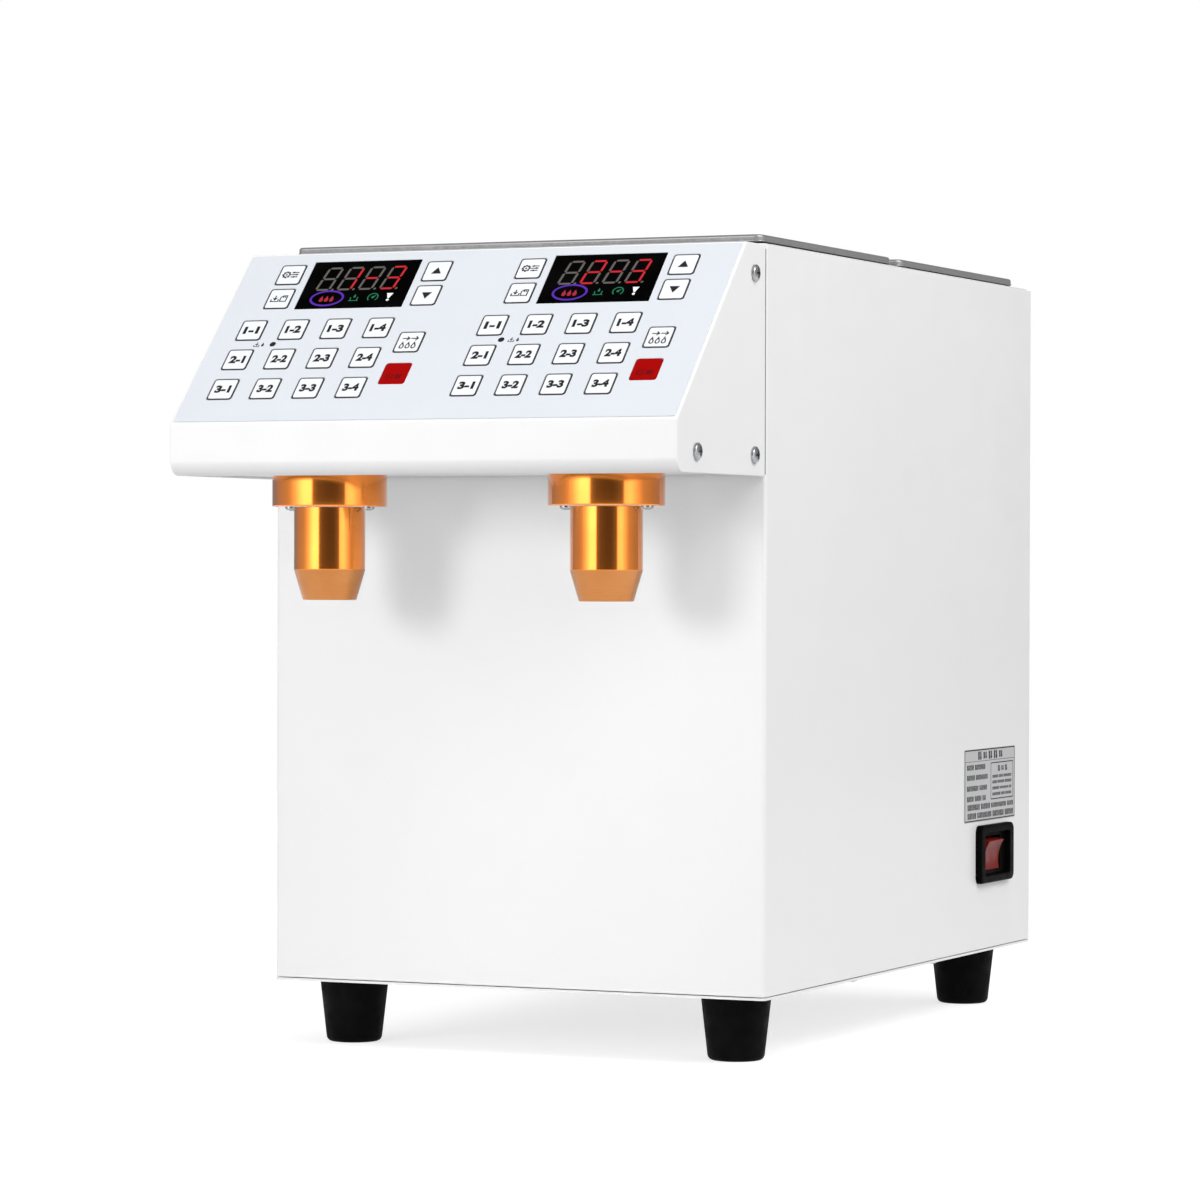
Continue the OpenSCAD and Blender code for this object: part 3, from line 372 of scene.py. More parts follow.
def glowing(name, colour, dark):
    """A display segment or mark: an even glow over a dark, faintly grained face. On segments that are off, the
    glow is painted.
    """
    light = Finish(name, dark, 0.3, Emission_Strength=1.0, Specular_IOR_Level=0.1)
    light.shader.inputs["Emission Color"].default_value = (*colour, 1.0)
    light.vary_roughness(light.noise(500, 2), 0.25, 0.35)
    return light.bump(light.noise(1500, 1), 0.004 * MM, 0.3).material


def zinc(name):
    """Bright zinc plate: bluish metal, with soft blotches and fine tumbling marks."""
    plate = Finish(name, (0.42, 0.43, 0.45), 0.2, metallic=1.0)
    plate.vary_colour(plate.noise(350, 3), (0.3, 0.3, 0.3))
    plate.vary_roughness(plate.noise(700, 3), 0.18, 0.36)
    return plate.bump(plate.noise(2400, 2), 0.01 * MM, 0.3).material


WHITE = powder_coat("white powder coat", (0.9, 0.9, 0.9))
STEEL = brushed_steel("brushed steel")
TANK_STEEL = brushed_steel("drawn steel", (0.6, 0.6, 0.61), (300, 300, 6))
# The lids' upright skirts take a darker copy of the lids' steel: the darker tone is painted shade, the higher
# roughness a finish.
SHADED_SKIRT_STEEL = brushed_steel("skirt steel with painted shade", (0.34, 0.34, 0.34), (400, 400, 400), (0.55, 0.65))
DECK_STEEL = brushed_steel("bead-blasted steel", (0.85, 0.85, 0.85), (400, 400, 400), (0.7, 0.8))
GOLD = anodised("gold anodised", (0.95, 0.27, 0.02))
# The nozzles' tapered tips take a darker copy of the gold: the darker tone is painted shade, the higher roughness
# a finish.
SHADED_GOLD_TIP = anodised("gold tip with painted shade", (0.555, 0.228, 0.073), 0.3, 0.2)
RUBBER = moulded("black rubber", (0.002, 0.002, 0.002), 0.6, 1400, 0.04 * MM, Specular_IOR_Level=0.05)
# A near-black band round the foot of each lid: painted shadow of the gap between lid and deck.
SHADOW_GAP_BAND = moulded("dark band for painted shadow gap", (0.006, 0.006, 0.006), 0.6, 1400, 0.04 * MM, Specular_IOR_Level=0.05)
# Mid-grey strips set into the joint between head and cabinet: painted shadow of that gap.
GAP_SHADOW_GREY = moulded("grey strip for painted gap shadow", (0.09, 0.09, 0.09), 0.7, 1400, 0.06 * MM, Specular_IOR_Level=0.05)
BLACK = moulded("black moulding", (0.002, 0.002, 0.002), 0.4, Specular_IOR_Level=0.05, IOR=1.2)
RED_LENS = moulded("red rocker", (0.19, 0.011, 0.006), 0.3, 1800, 0.01 * MM, Specular_IOR_Level=0.08)
FILM = printed_film("pale film", (0.71, 0.742, 0.79))
KEY_WHITE = printed_film("white key print", (0.85, 0.87, 0.9))
KEY_RED = printed_film("red key print", (0.36, 0.001, 0.001), 0.4, 0.02)
INK = printed_film("dark print", (0.035, 0.037, 0.042), 0.45, 0.3)
BLACK_INK = printed_film("black print", (0.008, 0.008, 0.009), 0.45, 0.3)
DEEP_RED = printed_film("deep red print", (0.16, 0.001, 0.002), 0.4, 0.06)
GLASS_BLACK = moulded("display window", (0.001, 0.001, 0.001), 0.12, 300, 0.002 * MM,
                      Specular_IOR_Level=0.05, IOR=1.1)
# Segments that are off glow faintly, though no lamp lights them: a painted glow.
UNLIT_SEGMENT_GLOW = glowing("unlit segment with painted glow", (0.12, 0.108, 0.1), (0.01, 0.01, 0.01))
LIT_RED = glowing("lit red", (0.5, 0.018, 0.03), (0.1, 0.002, 0.002))
DIM_RED = glowing("dim red print", (0.36, 0.02, 0.05), (0.05, 0.002, 0.002))
LIT_GREEN = glowing("green print", (0.008, 0.15, 0.07), (0.01, 0.05, 0.03))
LIT_VIOLET = glowing("violet print", (0.08, 0.02, 0.36), (0.02, 0.005, 0.08))
LIT_WHITE = glowing("white print", (0.8, 0.8, 0.8), (0.2, 0.2, 0.2))
ZINC = zinc("zinc plate")
PLATE = printed_film("grey plate", (0.56, 0.56, 0.57), 0.35)
BOARD = moulded("solder mask", (0.01, 0.09, 0.03), 0.35, 700, 0.03 * MM)
CAST = zinc("machined pump")
MOTOR = moulded("dark motor paint", (0.03, 0.03, 0.032), 0.4)
SILICONE = moulded("milky silicone", (0.62, 0.62, 0.57), 0.35, 400, 0.02 * MM, Subsurface_Weight=0.2)
SHEET_ALUMINIUM = brushed_steel("plain aluminium", (0.62, 0.62, 0.62), (60, 60, 60))

CAD_FINISH = {
    "painted_steel": WHITE, "stainless": STEEL, "rubber": RUBBER, "film": FILM, "white_key": KEY_WHITE,
    "red_key": KEY_RED, "display": GLASS_BLACK, "board": BOARD, "gold_anodised": GOLD,
    "screw_steel": ZINC, "black_plastic": BLACK, "red_plastic": RED_LENS, "pump_metal": CAST,
    "motor_steel": MOTOR, "hose": SILICONE, "supply_case": SHEET_ALUMINIUM,
}
OWN_FINISH = {"front_tank": TANK_STEEL, "rear_tank": TANK_STEEL, "top_deck": DECK_STEEL}


def finish_cad_nodes():
    """Every CAD node takes its own finish, or else that of its slot in the record."""
    for part in frame["record"]["subparts"]:
        node = part["node"]
        mesh = frame["nodes"][node].data
        mesh.materials.clear()
        mesh.materials.append(OWN_FINISH.get(node, CAD_FINISH[part["material_slot"]]))


# ---------------- places in the frame


def node_points(node):
    """All corner points of a CAD node."""
    mesh = frame["nodes"][node].data
    points = np.empty(len(mesh.vertices) * 3)
    mesh.vertices.foreach_get("co", points)
    return points.reshape(-1, 3)


def joint_of(body):
    """The joint that moves a body."""
    return next(j for j in frame["joints"] if j["child"] == body)


KEY_NAMES = [n for n in frame["nodes"] if n.startswith("key_")]
RIGHT = np.array([1.0, 0.0, 0.0])
OUT_OF_SLOPE = -np.array(joint_of(KEY_NAMES[0] + "_body")["axis"], float)
OUT_OF_SLOPE /= np.linalg.norm(OUT_OF_SLOPE)
UP_SLOPE = np.cross(OUT_OF_SLOPE, RIGHT)
FILM_POINTS = node_points("keypad_film")
SLOPE_ORIGIN = UP_SLOPE * (FILM_POINTS @ UP_SLOPE).min() + OUT_OF_SLOPE * (FILM_POINTS @ OUT_OF_SLOPE).max()


def slope_box(node):
    """Lowest and highest corner of a node across, up and out of the film's surface."""
    local = (node_points(node) - SLOPE_ORIGIN) @ np.array([RIGHT, UP_SLOPE, OUT_OF_SLOPE]).T
    return local.min(0), local.max(0)


def on_slope(shape, across, up, out=0.0):
    """The shape laid on the film, its own origin at that place."""
    origin = SLOPE_ORIGIN + RIGHT * across + UP_SLOPE * up + OUT_OF_SLOPE * out
    return placed(shape, origin, RIGHT, UP_SLOPE, OUT_OF_SLOPE)


# ---------------- keypads

KEY_COLLAR = 1.0 * MM        # hidden collar of the CAD key
KEY_EDGE = 0.3 * MM          # soft edge of a key
KEY_FRAME = 0.5 * MM         # width of the printed frame inside that edge
KEY_DOME = 0.12 * MM         # crown of a key
KEY_CROWN = 3.2 * MM         # width over which the crown rises inside the frame
KEY_RADIUS = 1.8 * MM
KEY_FOOT = 1.0 * MM          # part of the CAD key that stays below the keycap
PRINT_RISE = 0.02 * MM
FIGURE_WIDTH = 8.5 * MM
FIGURE_HEIGHT = 5.2 * MM
FIGURE_WEIGHT = 0.055        # how much the built-in typeface is thickened, in its own units
LINE = 0.62 * MM             # stroke of the pictograms
DOT_RADIUS = 1.65 * MM
DOT_UP = 54.0 * MM           # place of the dots up the slope from the film's lower edge
# Place of each keypad's dot from its middle, and of the small signs from the dot
DOT_PLACES = {"left": (-32.3 * MM, -7.2 * MM), "right": (-40.1 * MM, 7.2 * MM)}
SMALL_SIGNS = 0.72           # their size beside that of the signs on the keys


def key_pad(width, length, depth):
    """A key: rounded rings from its foot up a soft edge to a low crown; the frame band is printed dark."""
    steps = [(0.0, -depth), (0.0, -KEY_EDGE), (0.3 * KEY_EDGE, -0.3 * KEY_EDGE), (KEY_EDGE, 0.0)]
    inset_height = steps + [(KEY_EDGE + KEY_FRAME, 0.0)]
    inset_height += [(KEY_EDGE + KEY_FRAME + t * KEY_CROWN, 0.0) for t in (0.3, 0.7, 1.0)]
    rings = []
    for inset, height in inset_height:
        ring = rounded_ring(width - 2 * inset, length - 2 * inset, max(KEY_RADIUS - 0.8 * inset, 0.35 * MM))
        rings.append(level(ring, height - KEY_DOME))
    rings = np.array(rings)
    reach = np.maximum(abs(rings[3:, :, 0]) / (width / 2), abs(rings[3:, :, 1]) / (length / 2))
    rings[3:, :, 2] += KEY_DOME * (1 - reach**4) * 0.9
    return loft(rings, cap_last=True, colours=[0, 1, 1, 1, 0, 0, 0])


def strokes(*lines, width=LINE):
    """Ribbons along lines given in millimetres."""
    return joined([ribbon(np.array(line, float) * MM, width) for line in lines])


def beside(*signs, step=4.7):
    """Signs in a row, that many millimetres apart."""
    start = -(len(signs) - 1) / 2
    return joined([moved(sign, ((start + i) * step * MM, 0, 0)) for i, sign in enumerate(signs)])


def gear():
    """A toothed ring and its hub: the radius swaps between two values eight times round."""
    teeth = 8
    angle = np.linspace(0, 2 * math.pi, teeth * 8, endpoint=False)
    radius = np.where(np.cos(angle * teeth) > 0, 2.15 * MM, 1.6 * MM)
    rim = np.stack([np.cos(angle), np.sin(angle)], 1) * radius[:, None]
    return joined([ribbon(rim, LINE, True), flat(circle(0.55 * MM, 16))])


def sliders():
    """Three rules, each with a knob at another place."""
    places = ((-0.9, 1.6), (0.9, 0), (-0.3, -1.6))
    knobs = [moved(flat(circle(0.62 * MM, 16)), (x * MM, y * MM, 0)) for x, y in places]
    return joined(knobs + [strokes(*[[(-2, y), (2, y)] for x, y in places])])


def tray():
    """An arrow that points down into a tray."""
    return strokes([(0, 2.2), (0, -0.6)], [(-1.1, 0.6), (0, -0.8), (1.1, 0.6)],
                   [(-2, -0.4), (-2, -2), (2, -2), (2, -0.4)])


def card():
    """A memory card: a rectangle with one corner cut off and two contacts."""
    outline = np.array([(-1.7, -2), (1.7, -2), (1.7, 2), (-0.5, 2), (-1.7, 0.9)]) * MM
    contacts = strokes([(-0.3, 1.9), (-0.3, 0.5)], [(0.7, 1.9), (0.7, 0.5)])
    return joined([ribbon(outline, LINE, True), contacts])


def drop_outline(height, steps=40):
    """A drop: x = sin t sin^1.6(t / 2) and y = cos t, narrowed and drawn out to a point at the top."""
    t = np.linspace(0, 2 * math.pi, steps, endpoint=False)
    x = np.sin(t) * np.sin(t / 2) ** 1.6
    y = np.cos(t)
    return np.stack([-x * 0.36, y * 0.5], 1) * height


def stream():
    """Two arrows that run on, over three drops in a row: a dose that flows until it is stopped."""
    arrow = strokes([(-1.9, 0), (1.9, 0)], [(0.6, 1.3), (1.9, 0), (0.6, -1.3)])
    drop = ribbon(drop_outline(3.9 * MM), LINE, True)
    up = 2.4 * MM
    drops = beside(drop, drop, drop, step=3.2)
    return joined([moved(beside(arrow, arrow), (0, up, 0)), moved(drops, (0, -up, 0))])


def triangle(direction):
    """A solid triangle that points up or down."""
    points = np.array([(-2.75, -2.0), (2.75, -2.0), (0, 2.6)]) * MM
    return flat(points if direction > 0 else -points)


def halt():
    """A bar in a ring, and a square."""
    ring = joined([ribbon(circle(1.8 * MM, 36), LINE, True), strokes([(-1, 0), (1, 0)])])
    return moved(beside(ring, flat(rounded_ring(3.2 * MM, 3.2 * MM, 0.3 * MM, 3))), (0, -2.2 * MM, 0))


def legend(code):
    """The figures or the pictogram of a key."""
    drawn = {"set": lambda: beside(gear(), sliders()), "save": lambda: beside(tray(), card()),
             "run": stream, "stop": halt, "up": lambda: triangle(1), "down": lambda: triangle(-1)}
    if code in drawn:
        return drawn[code]()
    return lettering(code.replace("_", "-"), FIGURE_HEIGHT, FIGURE_WIDTH, FIGURE_WEIGHT)


def make_keys():
    """Each key rides on its own body and takes the place of its CAD solid."""
    for name in KEY_NAMES:
        low, high = slope_box(name)
        width, length = (high - low)[:2] - 2 * KEY_COLLAR
        centre = (low + high) / 2
        code = name.split("_", 2)[2]
        pad = key_pad(width, length, high[2] - low[2] - KEY_FOOT)
        mark = moved(marked(legend(code), 2), (0, 0, PRINT_RISE))
        shape = on_slope(joined([pad, mark]), centre[0], centre[1], high[2])
        inks, slot = [KEY_WHITE, INK, BLACK_INK], "white_key"
        if code == "stop":
            inks, slot = [KEY_RED, KEY_RED, DEEP_RED], "red_key"
        piece(name.replace("key", "keycap"), shape, inks, name + "_body", [name])


def pad_centre(side):
    """Middle of a keypad across the head: halfway between the keys on both sides of its display."""
    return sum(slope_box(f"key_{side}_{code}")[end][0] for code in ("set", "up") for end in (0, 1)) / 4


def make_pad_prints():
    """A dot under each keypad's first row, with a small tray and drop beside it."""
    dot = flat(circle(DOT_RADIUS, 40))
    small = moved(beside(tray(), flat(drop_outline(4.0 * MM))), scale=(SMALL_SIGNS, SMALL_SIGNS, 1))
    for side, (place, sign_place) in DOT_PLACES.items():
        prints = joined([dot, moved(marked(small, 1), (sign_place, 0, 0))])
        piece("pad_prints_" + side, on_slope(prints, pad_centre(side) + place, DOT_UP, PRINT_RISE),
              [BLACK_INK, INK], MAIN_BODY)


# ---------------- displays

DIGIT_HEIGHT = 17.0 * MM
DIGIT_WIDTH = 8.6 * MM
DIGIT_PITCH = 11.85 * MM
DIGIT_SLANT = 0.16
DIGITS_RIGHT = 0.2 * MM      # middle of the digits, right of the window's middle
DIGITS_UP = 4.4 * MM
STROKE = 1.3 * MM
STROKE_GAP = 0.3 * MM        # distance of a bar's point from the corner it points to
POINT_RADIUS = 0.7 * MM
POINT_BEHIND = 1.2 * MM      # distance of a digit's point behind the digit
OVAL_SIZE = (17.7 * MM, 10.4 * MM)
SIGNS_DOWN = 9.7 * MM        # the row of signs below the window's middle
SEGMENTS_ON = {" ": "", "1": "bc", "2": "abged", "3": "abgcd", "-": "g"}
READINGS = {"left": " 1-3", "right": " 2-3"}


def segment(start, end):
    """A bar with pointed ends: a hexagon along the line from start to end, short of both by a gap."""
    start, end = np.array(start, float), np.array(end, float)
    along = (end - start) / np.linalg.norm(end - start)
    side = np.array([-along[1], along[0]]) * STROKE / 2
    start, end = start + along * STROKE_GAP, end - along * STROKE_GAP
    point = along * STROKE / 2
    return [start, start + point - side, end - point - side, end, end - point + side, start + point + side]


def digit(figure):
    """The seven bars and the point of one digit, leaning by the slant; lit bars are marked 1, the rest 0."""
    w, h = DIGIT_WIDTH / 2 - STROKE / 2, DIGIT_HEIGHT / 2 - STROKE / 2
    bars = {"a": ((-w, h), (w, h)), "b": ((w, h), (w, 0)), "c": ((w, 0), (w, -h)), "d": ((-w, -h), (w, -h)),
            "e": ((-w, 0), (-w, -h)), "f": ((-w, h), (-w, 0)), "g": ((-w, 0), (w, 0))}
    shapes = [flat(segment(*ends), int(bar in SEGMENTS_ON[figure])) for bar, ends in bars.items()]
    shapes.append(flat(circle(POINT_RADIUS, 16, centre=(DIGIT_WIDTH / 2 + POINT_BEHIND, -h))))
    points, faces, marks = joined(shapes)
    points[:, 0] += points[:, 1] * DIGIT_SLANT
    return points, faces, marks


def oval(width, height):
    """An upright ellipse's outline."""
    return circle(1.0, 64) * np.array([width, height]) / 2


def cup():
    """A cup on its saucer, with a drop over it."""
    bowl, saucer = [(-2.0, 0.3), (-1.7, -2.1), (1.7, -2.1), (2.0, 0.3)], [(-2.6, -2.1), (2.6, -2.1)]
    lines = strokes(bowl, saucer, width=0.55 * MM)
    return joined([lines, moved(flat(drop_outline(2.6 * MM, 20)), (0, 1.3 * MM, 0))])


def dial():
    """An open ring with a hand."""
    ring = ribbon(circle(2.7 * MM, 36, math.radians(-50), math.radians(280)), 0.6 * MM)
    hand = strokes([(0, 0), (1.3, 1.3)], width=0.6 * MM)
    return joined([ring, hand, flat(circle(0.8 * MM, 16))])


def level_mark():
    """A funnel over a dot."""
    funnel = np.array([(-1.75, 2.75), (-0.4, -0.9), (0.4, -0.9), (1.75, 2.75)]) * MM
    return joined([flat(funnel), flat(circle(0.8 * MM, 16, centre=(0, -2.1 * MM)))])


def make_displays():
    """On each black window: four slanted digits, and under them three drops in an oval and three marks."""
    low, high = slope_box("display_modules")
    middle_up = (low[1] + high[1]) / 2
    drops = moved(beside(*[flat(drop_outline(4.4 * MM))] * 3, step=2.9), (0, -0.3 * MM, 0))
    signs = [
        (ribbon(oval(*OVAL_SIZE), 1.2 * MM, True), -14.1), (marked(drops, 1), -14.1),
        (marked(cup(), 2), 1.2), (marked(dial(), 2), 11.5), (marked(level_mark(), 3), 20.3),
    ]
    icons = joined([moved(shape, (x * MM, -SIGNS_DOWN, 0)) for shape, x in signs])
    for side, reading in READINGS.items():
        digits = joined([moved(digit(figure), ((i - 1.5) * DIGIT_PITCH + DIGITS_RIGHT, DIGITS_UP, 0))
                         for i, figure in enumerate(reading)])
        place = (pad_centre(side), middle_up, high[2] + PRINT_RISE)
        piece("digits_" + side, on_slope(digits, *place), [UNLIT_SEGMENT_GLOW, LIT_RED], MAIN_BODY)
        piece("display_marks_" + side, on_slope(icons, *place),
              [LIT_VIOLET, DIM_RED, LIT_GREEN, LIT_WHITE], MAIN_BODY)


# ---------------- nozzles and feet


def pair_places(node):
    """The radius of two equal round solids side by side, the places of their axes, and their lowest and
    highest point."""
    low, high = (np.array(corner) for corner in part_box(node))
    radius = (high[1] - low[1]) / 2
    y = (low[1] + high[1]) / 2
    return radius, [(low[0] + radius, y), (high[0] - radius, y)], low[2], high[2]


TIP_HEIGHT = 15.0 * MM
TIP_RADIUS = 13.25 * MM
OUTLET_RADIUS = 4.0 * MM
OUTLET_DEPTH = 26.0 * MM
FOOT_TOP = 17.5 * MM         # radius
FOOT_BOTTOM = 14.0 * MM
FOOT_POCKET = 5.2 * MM
FOOT_POCKET_DEPTH = 20.0 * MM
FOOT_BAND = 2.2 * MM         # upright band at the top of a foot


def make_nozzles():
    """Collar and nozzle of each head, turned from gold anodised bar; the tip of each nozzle is darkened with
    painted shade.
    """
    radius, places, low, high = pair_places("nozzle_collars")
    barrel, _, tip, _ = pair_places("nozzles")
    rim = softened([(OUTLET_RADIUS, low), (radius, low), (radius, high), (OUTLET_RADIUS, high)], 0.7 * MM, 5)
    collars = [moved(turned(rim, 160), (x, y, 0)) for x, y in places]
    rims = piece("collars", joined(collars), GOLD, MAIN_BODY, ["nozzle_collars"])
    outline = [
        (OUTLET_RADIUS, tip + OUTLET_DEPTH), (OUTLET_RADIUS, tip + 1.6 * MM), (OUTLET_RADIUS + 1.5 * MM, tip),
        (TIP_RADIUS, tip), (barrel, tip + TIP_HEIGHT), (barrel, low), (OUTLET_RADIUS, low),
    ]
    profile = softened(outline, 0.45 * MM, 4)
    middles = (profile[:-1] + profile[1:]) / 2
    # The tip's faces take the darker gold: painted shade.
    on_tip = (middles[:, 1] < tip + TIP_HEIGHT) & (middles[:, 0] > OUTLET_RADIUS + 1 * MM)
    barrels = [moved(turned(profile, 160, on_tip.astype(int)), (x, y, 0)) for x, y in places]
    tubes = piece("nozzle_barrels", joined(barrels), [GOLD, SHADED_GOLD_TIP], MAIN_BODY,
                  ["nozzles"])
    for gold in (rims, tubes):
        gold.visible_diffuse = False
        gold.visible_glossy = False


def make_feet():
    """Tapered rubber feet, turned: a screw pocket underneath, a round lower rim and an upright top band."""
    low, high = (np.array(corner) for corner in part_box("rubber_feet"))
    bottom, band = (FOOT_BOTTOM, low[2]), (FOOT_TOP, high[2] - FOOT_BAND)
    roof = (FOOT_POCKET, low[2] + FOOT_POCKET_DEPTH)
    pocket = softened([roof, (FOOT_POCKET, low[2]), bottom], 1.0 * MM, 5)[:6]
    rim = softened([(FOOT_POCKET + 0.5 * MM, low[2]), bottom, band], 3.0 * MM, 8)[1:-1]
    top = softened([bottom, band, (FOOT_TOP, high[2]), (FOOT_POCKET, high[2])], 0.6 * MM, 3)[1:]
    foot = turned(np.vstack([pocket, rim, top]), 72)
    feet = [moved(foot, (x, y, 0)) for x in (low[0] + FOOT_TOP, high[0] - FOOT_TOP)
            for y in (low[1] + FOOT_TOP, high[1] - FOOT_TOP)]
    piece("feet", joined(feet), RUBBER, MAIN_BODY, ["rubber_feet"])


# ---------------- sheet metal, lids and label

BEND = 1.5 * MM              # outer radius of the head's bends
SHELL_BEND = 0.8 * MM
GAP_SHADOW_WIDTH = 3.0 * MM
GAP_SHADOW_SUNK = 0.15 * MM        # how far the grey strips that paint the gap's shadow stay below the head's sides
LABEL_SIZE = (84 * MM, 40 * MM)
LABEL_BEHIND = 330.5 * MM    # middle of the label behind the cabinet's front
LABEL_UP = 90.5 * MM         # middle of the label above the cabinet's lower edge
LABEL_RISE = 0.25 * MM
# Rows of the label in millimetres: left end, right end, height above its middle, height of the strokes, and
# the lengths of the groups beside each other
LABEL_ROWS = [
    (-20, 21, 16.2, 4.6, (1, 1, 1, 1, 1)),
    (-38, -8, 10.0, 2.9, (2, 3)), (-38, -4, 4.4, 2.9, (2, 3)), (-38, -5, -1.5, 2.9, (3, 2)),
    (-38, -7, -7.2, 2.9, (2, 2, 1)),
    (-37, 39, -11.9, 3.3, (4, 3, 5, 2)), (-37, 39, -16.6, 3.3, (3, 5, 4, 3)),
    (13, 29, 8.2, 3.4, (1, 1, 1)),
    (4, 36, 3.9, 1.7, (3, 2, 4)), (4, 36, 0.8, 1.7, (2, 3, 3)), (4, 36, -2.6, 1.7, (3, 4, 1)),
    (4, 36, -5.9, 1.7, (4, 2, 3)),
]
# Height and inset of the near-black band at the foot of each lid, which paints the gap's shadow
LID_SHADOW_BAND_HEIGHT = 1.1 * MM
LID_SHADOW_BAND_INSET = 0.9 * MM
LID_WALL = 1.2 * MM
LID_HEM = 0.4 * MM           # radius of the hem under the skirt
LID_EDGE = 1.3 * MM          # radius of the edge between skirt and top
LID_CORNER = 5.0 * MM


def outer_bend(node, shortest):
    """Picks the edges that lie on a node's outer side faces or run right across it, and no hole's."""
    low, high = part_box(node)

    def bends(middle, length):
        """True for an edge with that middle and length, if it is to be bent."""
        on_side = min(abs(middle[0] - low[0]), abs(middle[0] - high[0])) < 0.01 * MM
        across = abs(middle[0]) < 1 * MM and length > 0.9 * (high[0] - low[0])
        return (on_side and length > shortest) or across

    return bends


def casing_rear():
    """Where the sides of the head's casing end at the back."""
    points = node_points("head_casing")
    on_side = points[abs(points[:, 0] - points[:, 0].max()) < 0.1 * MM]
    return on_side[:, 1].max()


def cabinet_front():
    """Where the front of the cabinet is."""
    points = node_points("cabinet_shell")
    return points[abs(points[:, 2] - points[:, 2].min()) < 1 * MM][:, 1].min()


def on_right_side(shape, origin):
    """The shape laid on the cabinet's right side: its X runs back, its Y up and its Z outward."""
    return placed(shape, origin, (0, 1, 0), (0, 0, 1), (1, 0, 0))


def make_sheets():
    """The head's casing and the cabinet's shell, with their bends rounded."""
    for node, name, radius, shortest in (("head_casing", "casing", BEND, 0.9 * MM),
                                         ("cabinet_shell", "shell", SHELL_BEND, 100 * MM)):
        folded_sheet(node, name, radius, outer_bend(node, shortest), WHITE)


def make_lid(node):
    """A folded steel lid: rings round a near-black band at its foot, which paints the shadow of the gap under the
    lid, over the hem of its skirt, up the skirt, round a soft edge and over the top."""
    low, high = (np.array(corner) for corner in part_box(node))
    size, middle = high - low, (low + high) / 2
    angle = np.linspace(0, math.pi / 2, 7)
    round_hem = np.linspace(-math.pi / 2, math.pi / 2, 9)
    foot = low[2] + LID_SHADOW_BAND_HEIGHT
    steps = [(LID_WALL, high[2] - LID_WALL), (LID_WALL, low[2])]
    steps += [(LID_SHADOW_BAND_INSET, low[2]), (LID_SHADOW_BAND_INSET, foot)]
    shadow_band, skirt = (1, 2), len(steps) - 1 + len(round_hem)
    steps += [(LID_HEM * (1 - math.cos(a)), foot + LID_HEM * (1 + math.sin(a))) for a in round_hem]
    steps += [(LID_HEM + LID_EDGE * (1 - math.cos(a)), high[2] - LID_EDGE * (1 - math.sin(a))) for a in angle]
    steps += [(8 * MM, high[2]), (30 * MM, high[2])]
    rings = []
    for inset, height in steps:
        ring = rounded_ring(size[0] - 2 * inset, size[1] - 2 * inset, max(LID_CORNER - inset, 0.8 * MM))
        rings.append(level(ring, height))
    # Bands 1 and 2, round the foot, take the near-black band: painted shadow of the gap.
    bands = [1 if i in shadow_band else 2 if i == skirt else 0 for i in range(len(rings) - 1)]
    lid = moved(loft(rings, cap_first=True, cap_last=True, colours=bands), (middle[0], middle[1], 0))
    # The upright skirt band takes the darker steel: painted shade.
    piece(node + "_cover", lid, [STEEL, SHADOW_GAP_BAND, SHADED_SKIRT_STEEL], node + "_body", [node])


def make_gap_shadow_strips():
    """A grey strip down each side of the joint between head and cabinet, which paints the shadow in that gap: a
    soft square, lofted.
    """
    low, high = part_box("head_casing")
    start, end = casing_rear(), cabinet_front()
    ring = rounded_ring(GAP_SHADOW_WIDTH, end - start, 0.3 * MM, 4) + [0, (start + end) / 2]
    strip = loft([level(ring, low[2] + 1 * MM), level(ring, high[2] - 2 * MM)], True, True)
    inset = GAP_SHADOW_SUNK + GAP_SHADOW_WIDTH / 2
    for side, x in (("left", low[0] + inset), ("right", high[0] - inset)):
        piece("head_gap_shadow_" + side, moved(strip, (x, 0, 0)), GAP_SHADOW_GREY, MAIN_BODY)


def print_row(left, right, up, height, words):
    """Upright strokes in groups with a bar across each, in place of a line of print; words gives each group's
    share of the row."""
    pitch = height * 0.62
    marks, x = [], left
    gap = pitch * 0.9
    shares = np.array(words, float)
    for width in shares / shares.sum() * (right - left - gap * (len(words) - 1)):
        count = max(1, round(width / pitch))
        step = width / count
        for k in range(count):
            tall = height * (1.0, 0.8, 0.95)[(k + len(marks)) % 3]
            middle = x + (k + 0.5) * step
            upright = flat(rounded_ring(step * (0.75, 0.6)[k % 2], tall, 0.1, 2))
            marks.append(moved(upright, (middle, up, 0)))
            bar = flat(rounded_ring(step * 0.9, tall * 0.2, 0.05, 2))
            marks.append(moved(bar, (middle, up + tall * (0.3, -0.25, 0.05)[k % 3], 0.002)))
        x += width + gap
    return joined([moved(mark, scale=MM) for mark in marks])


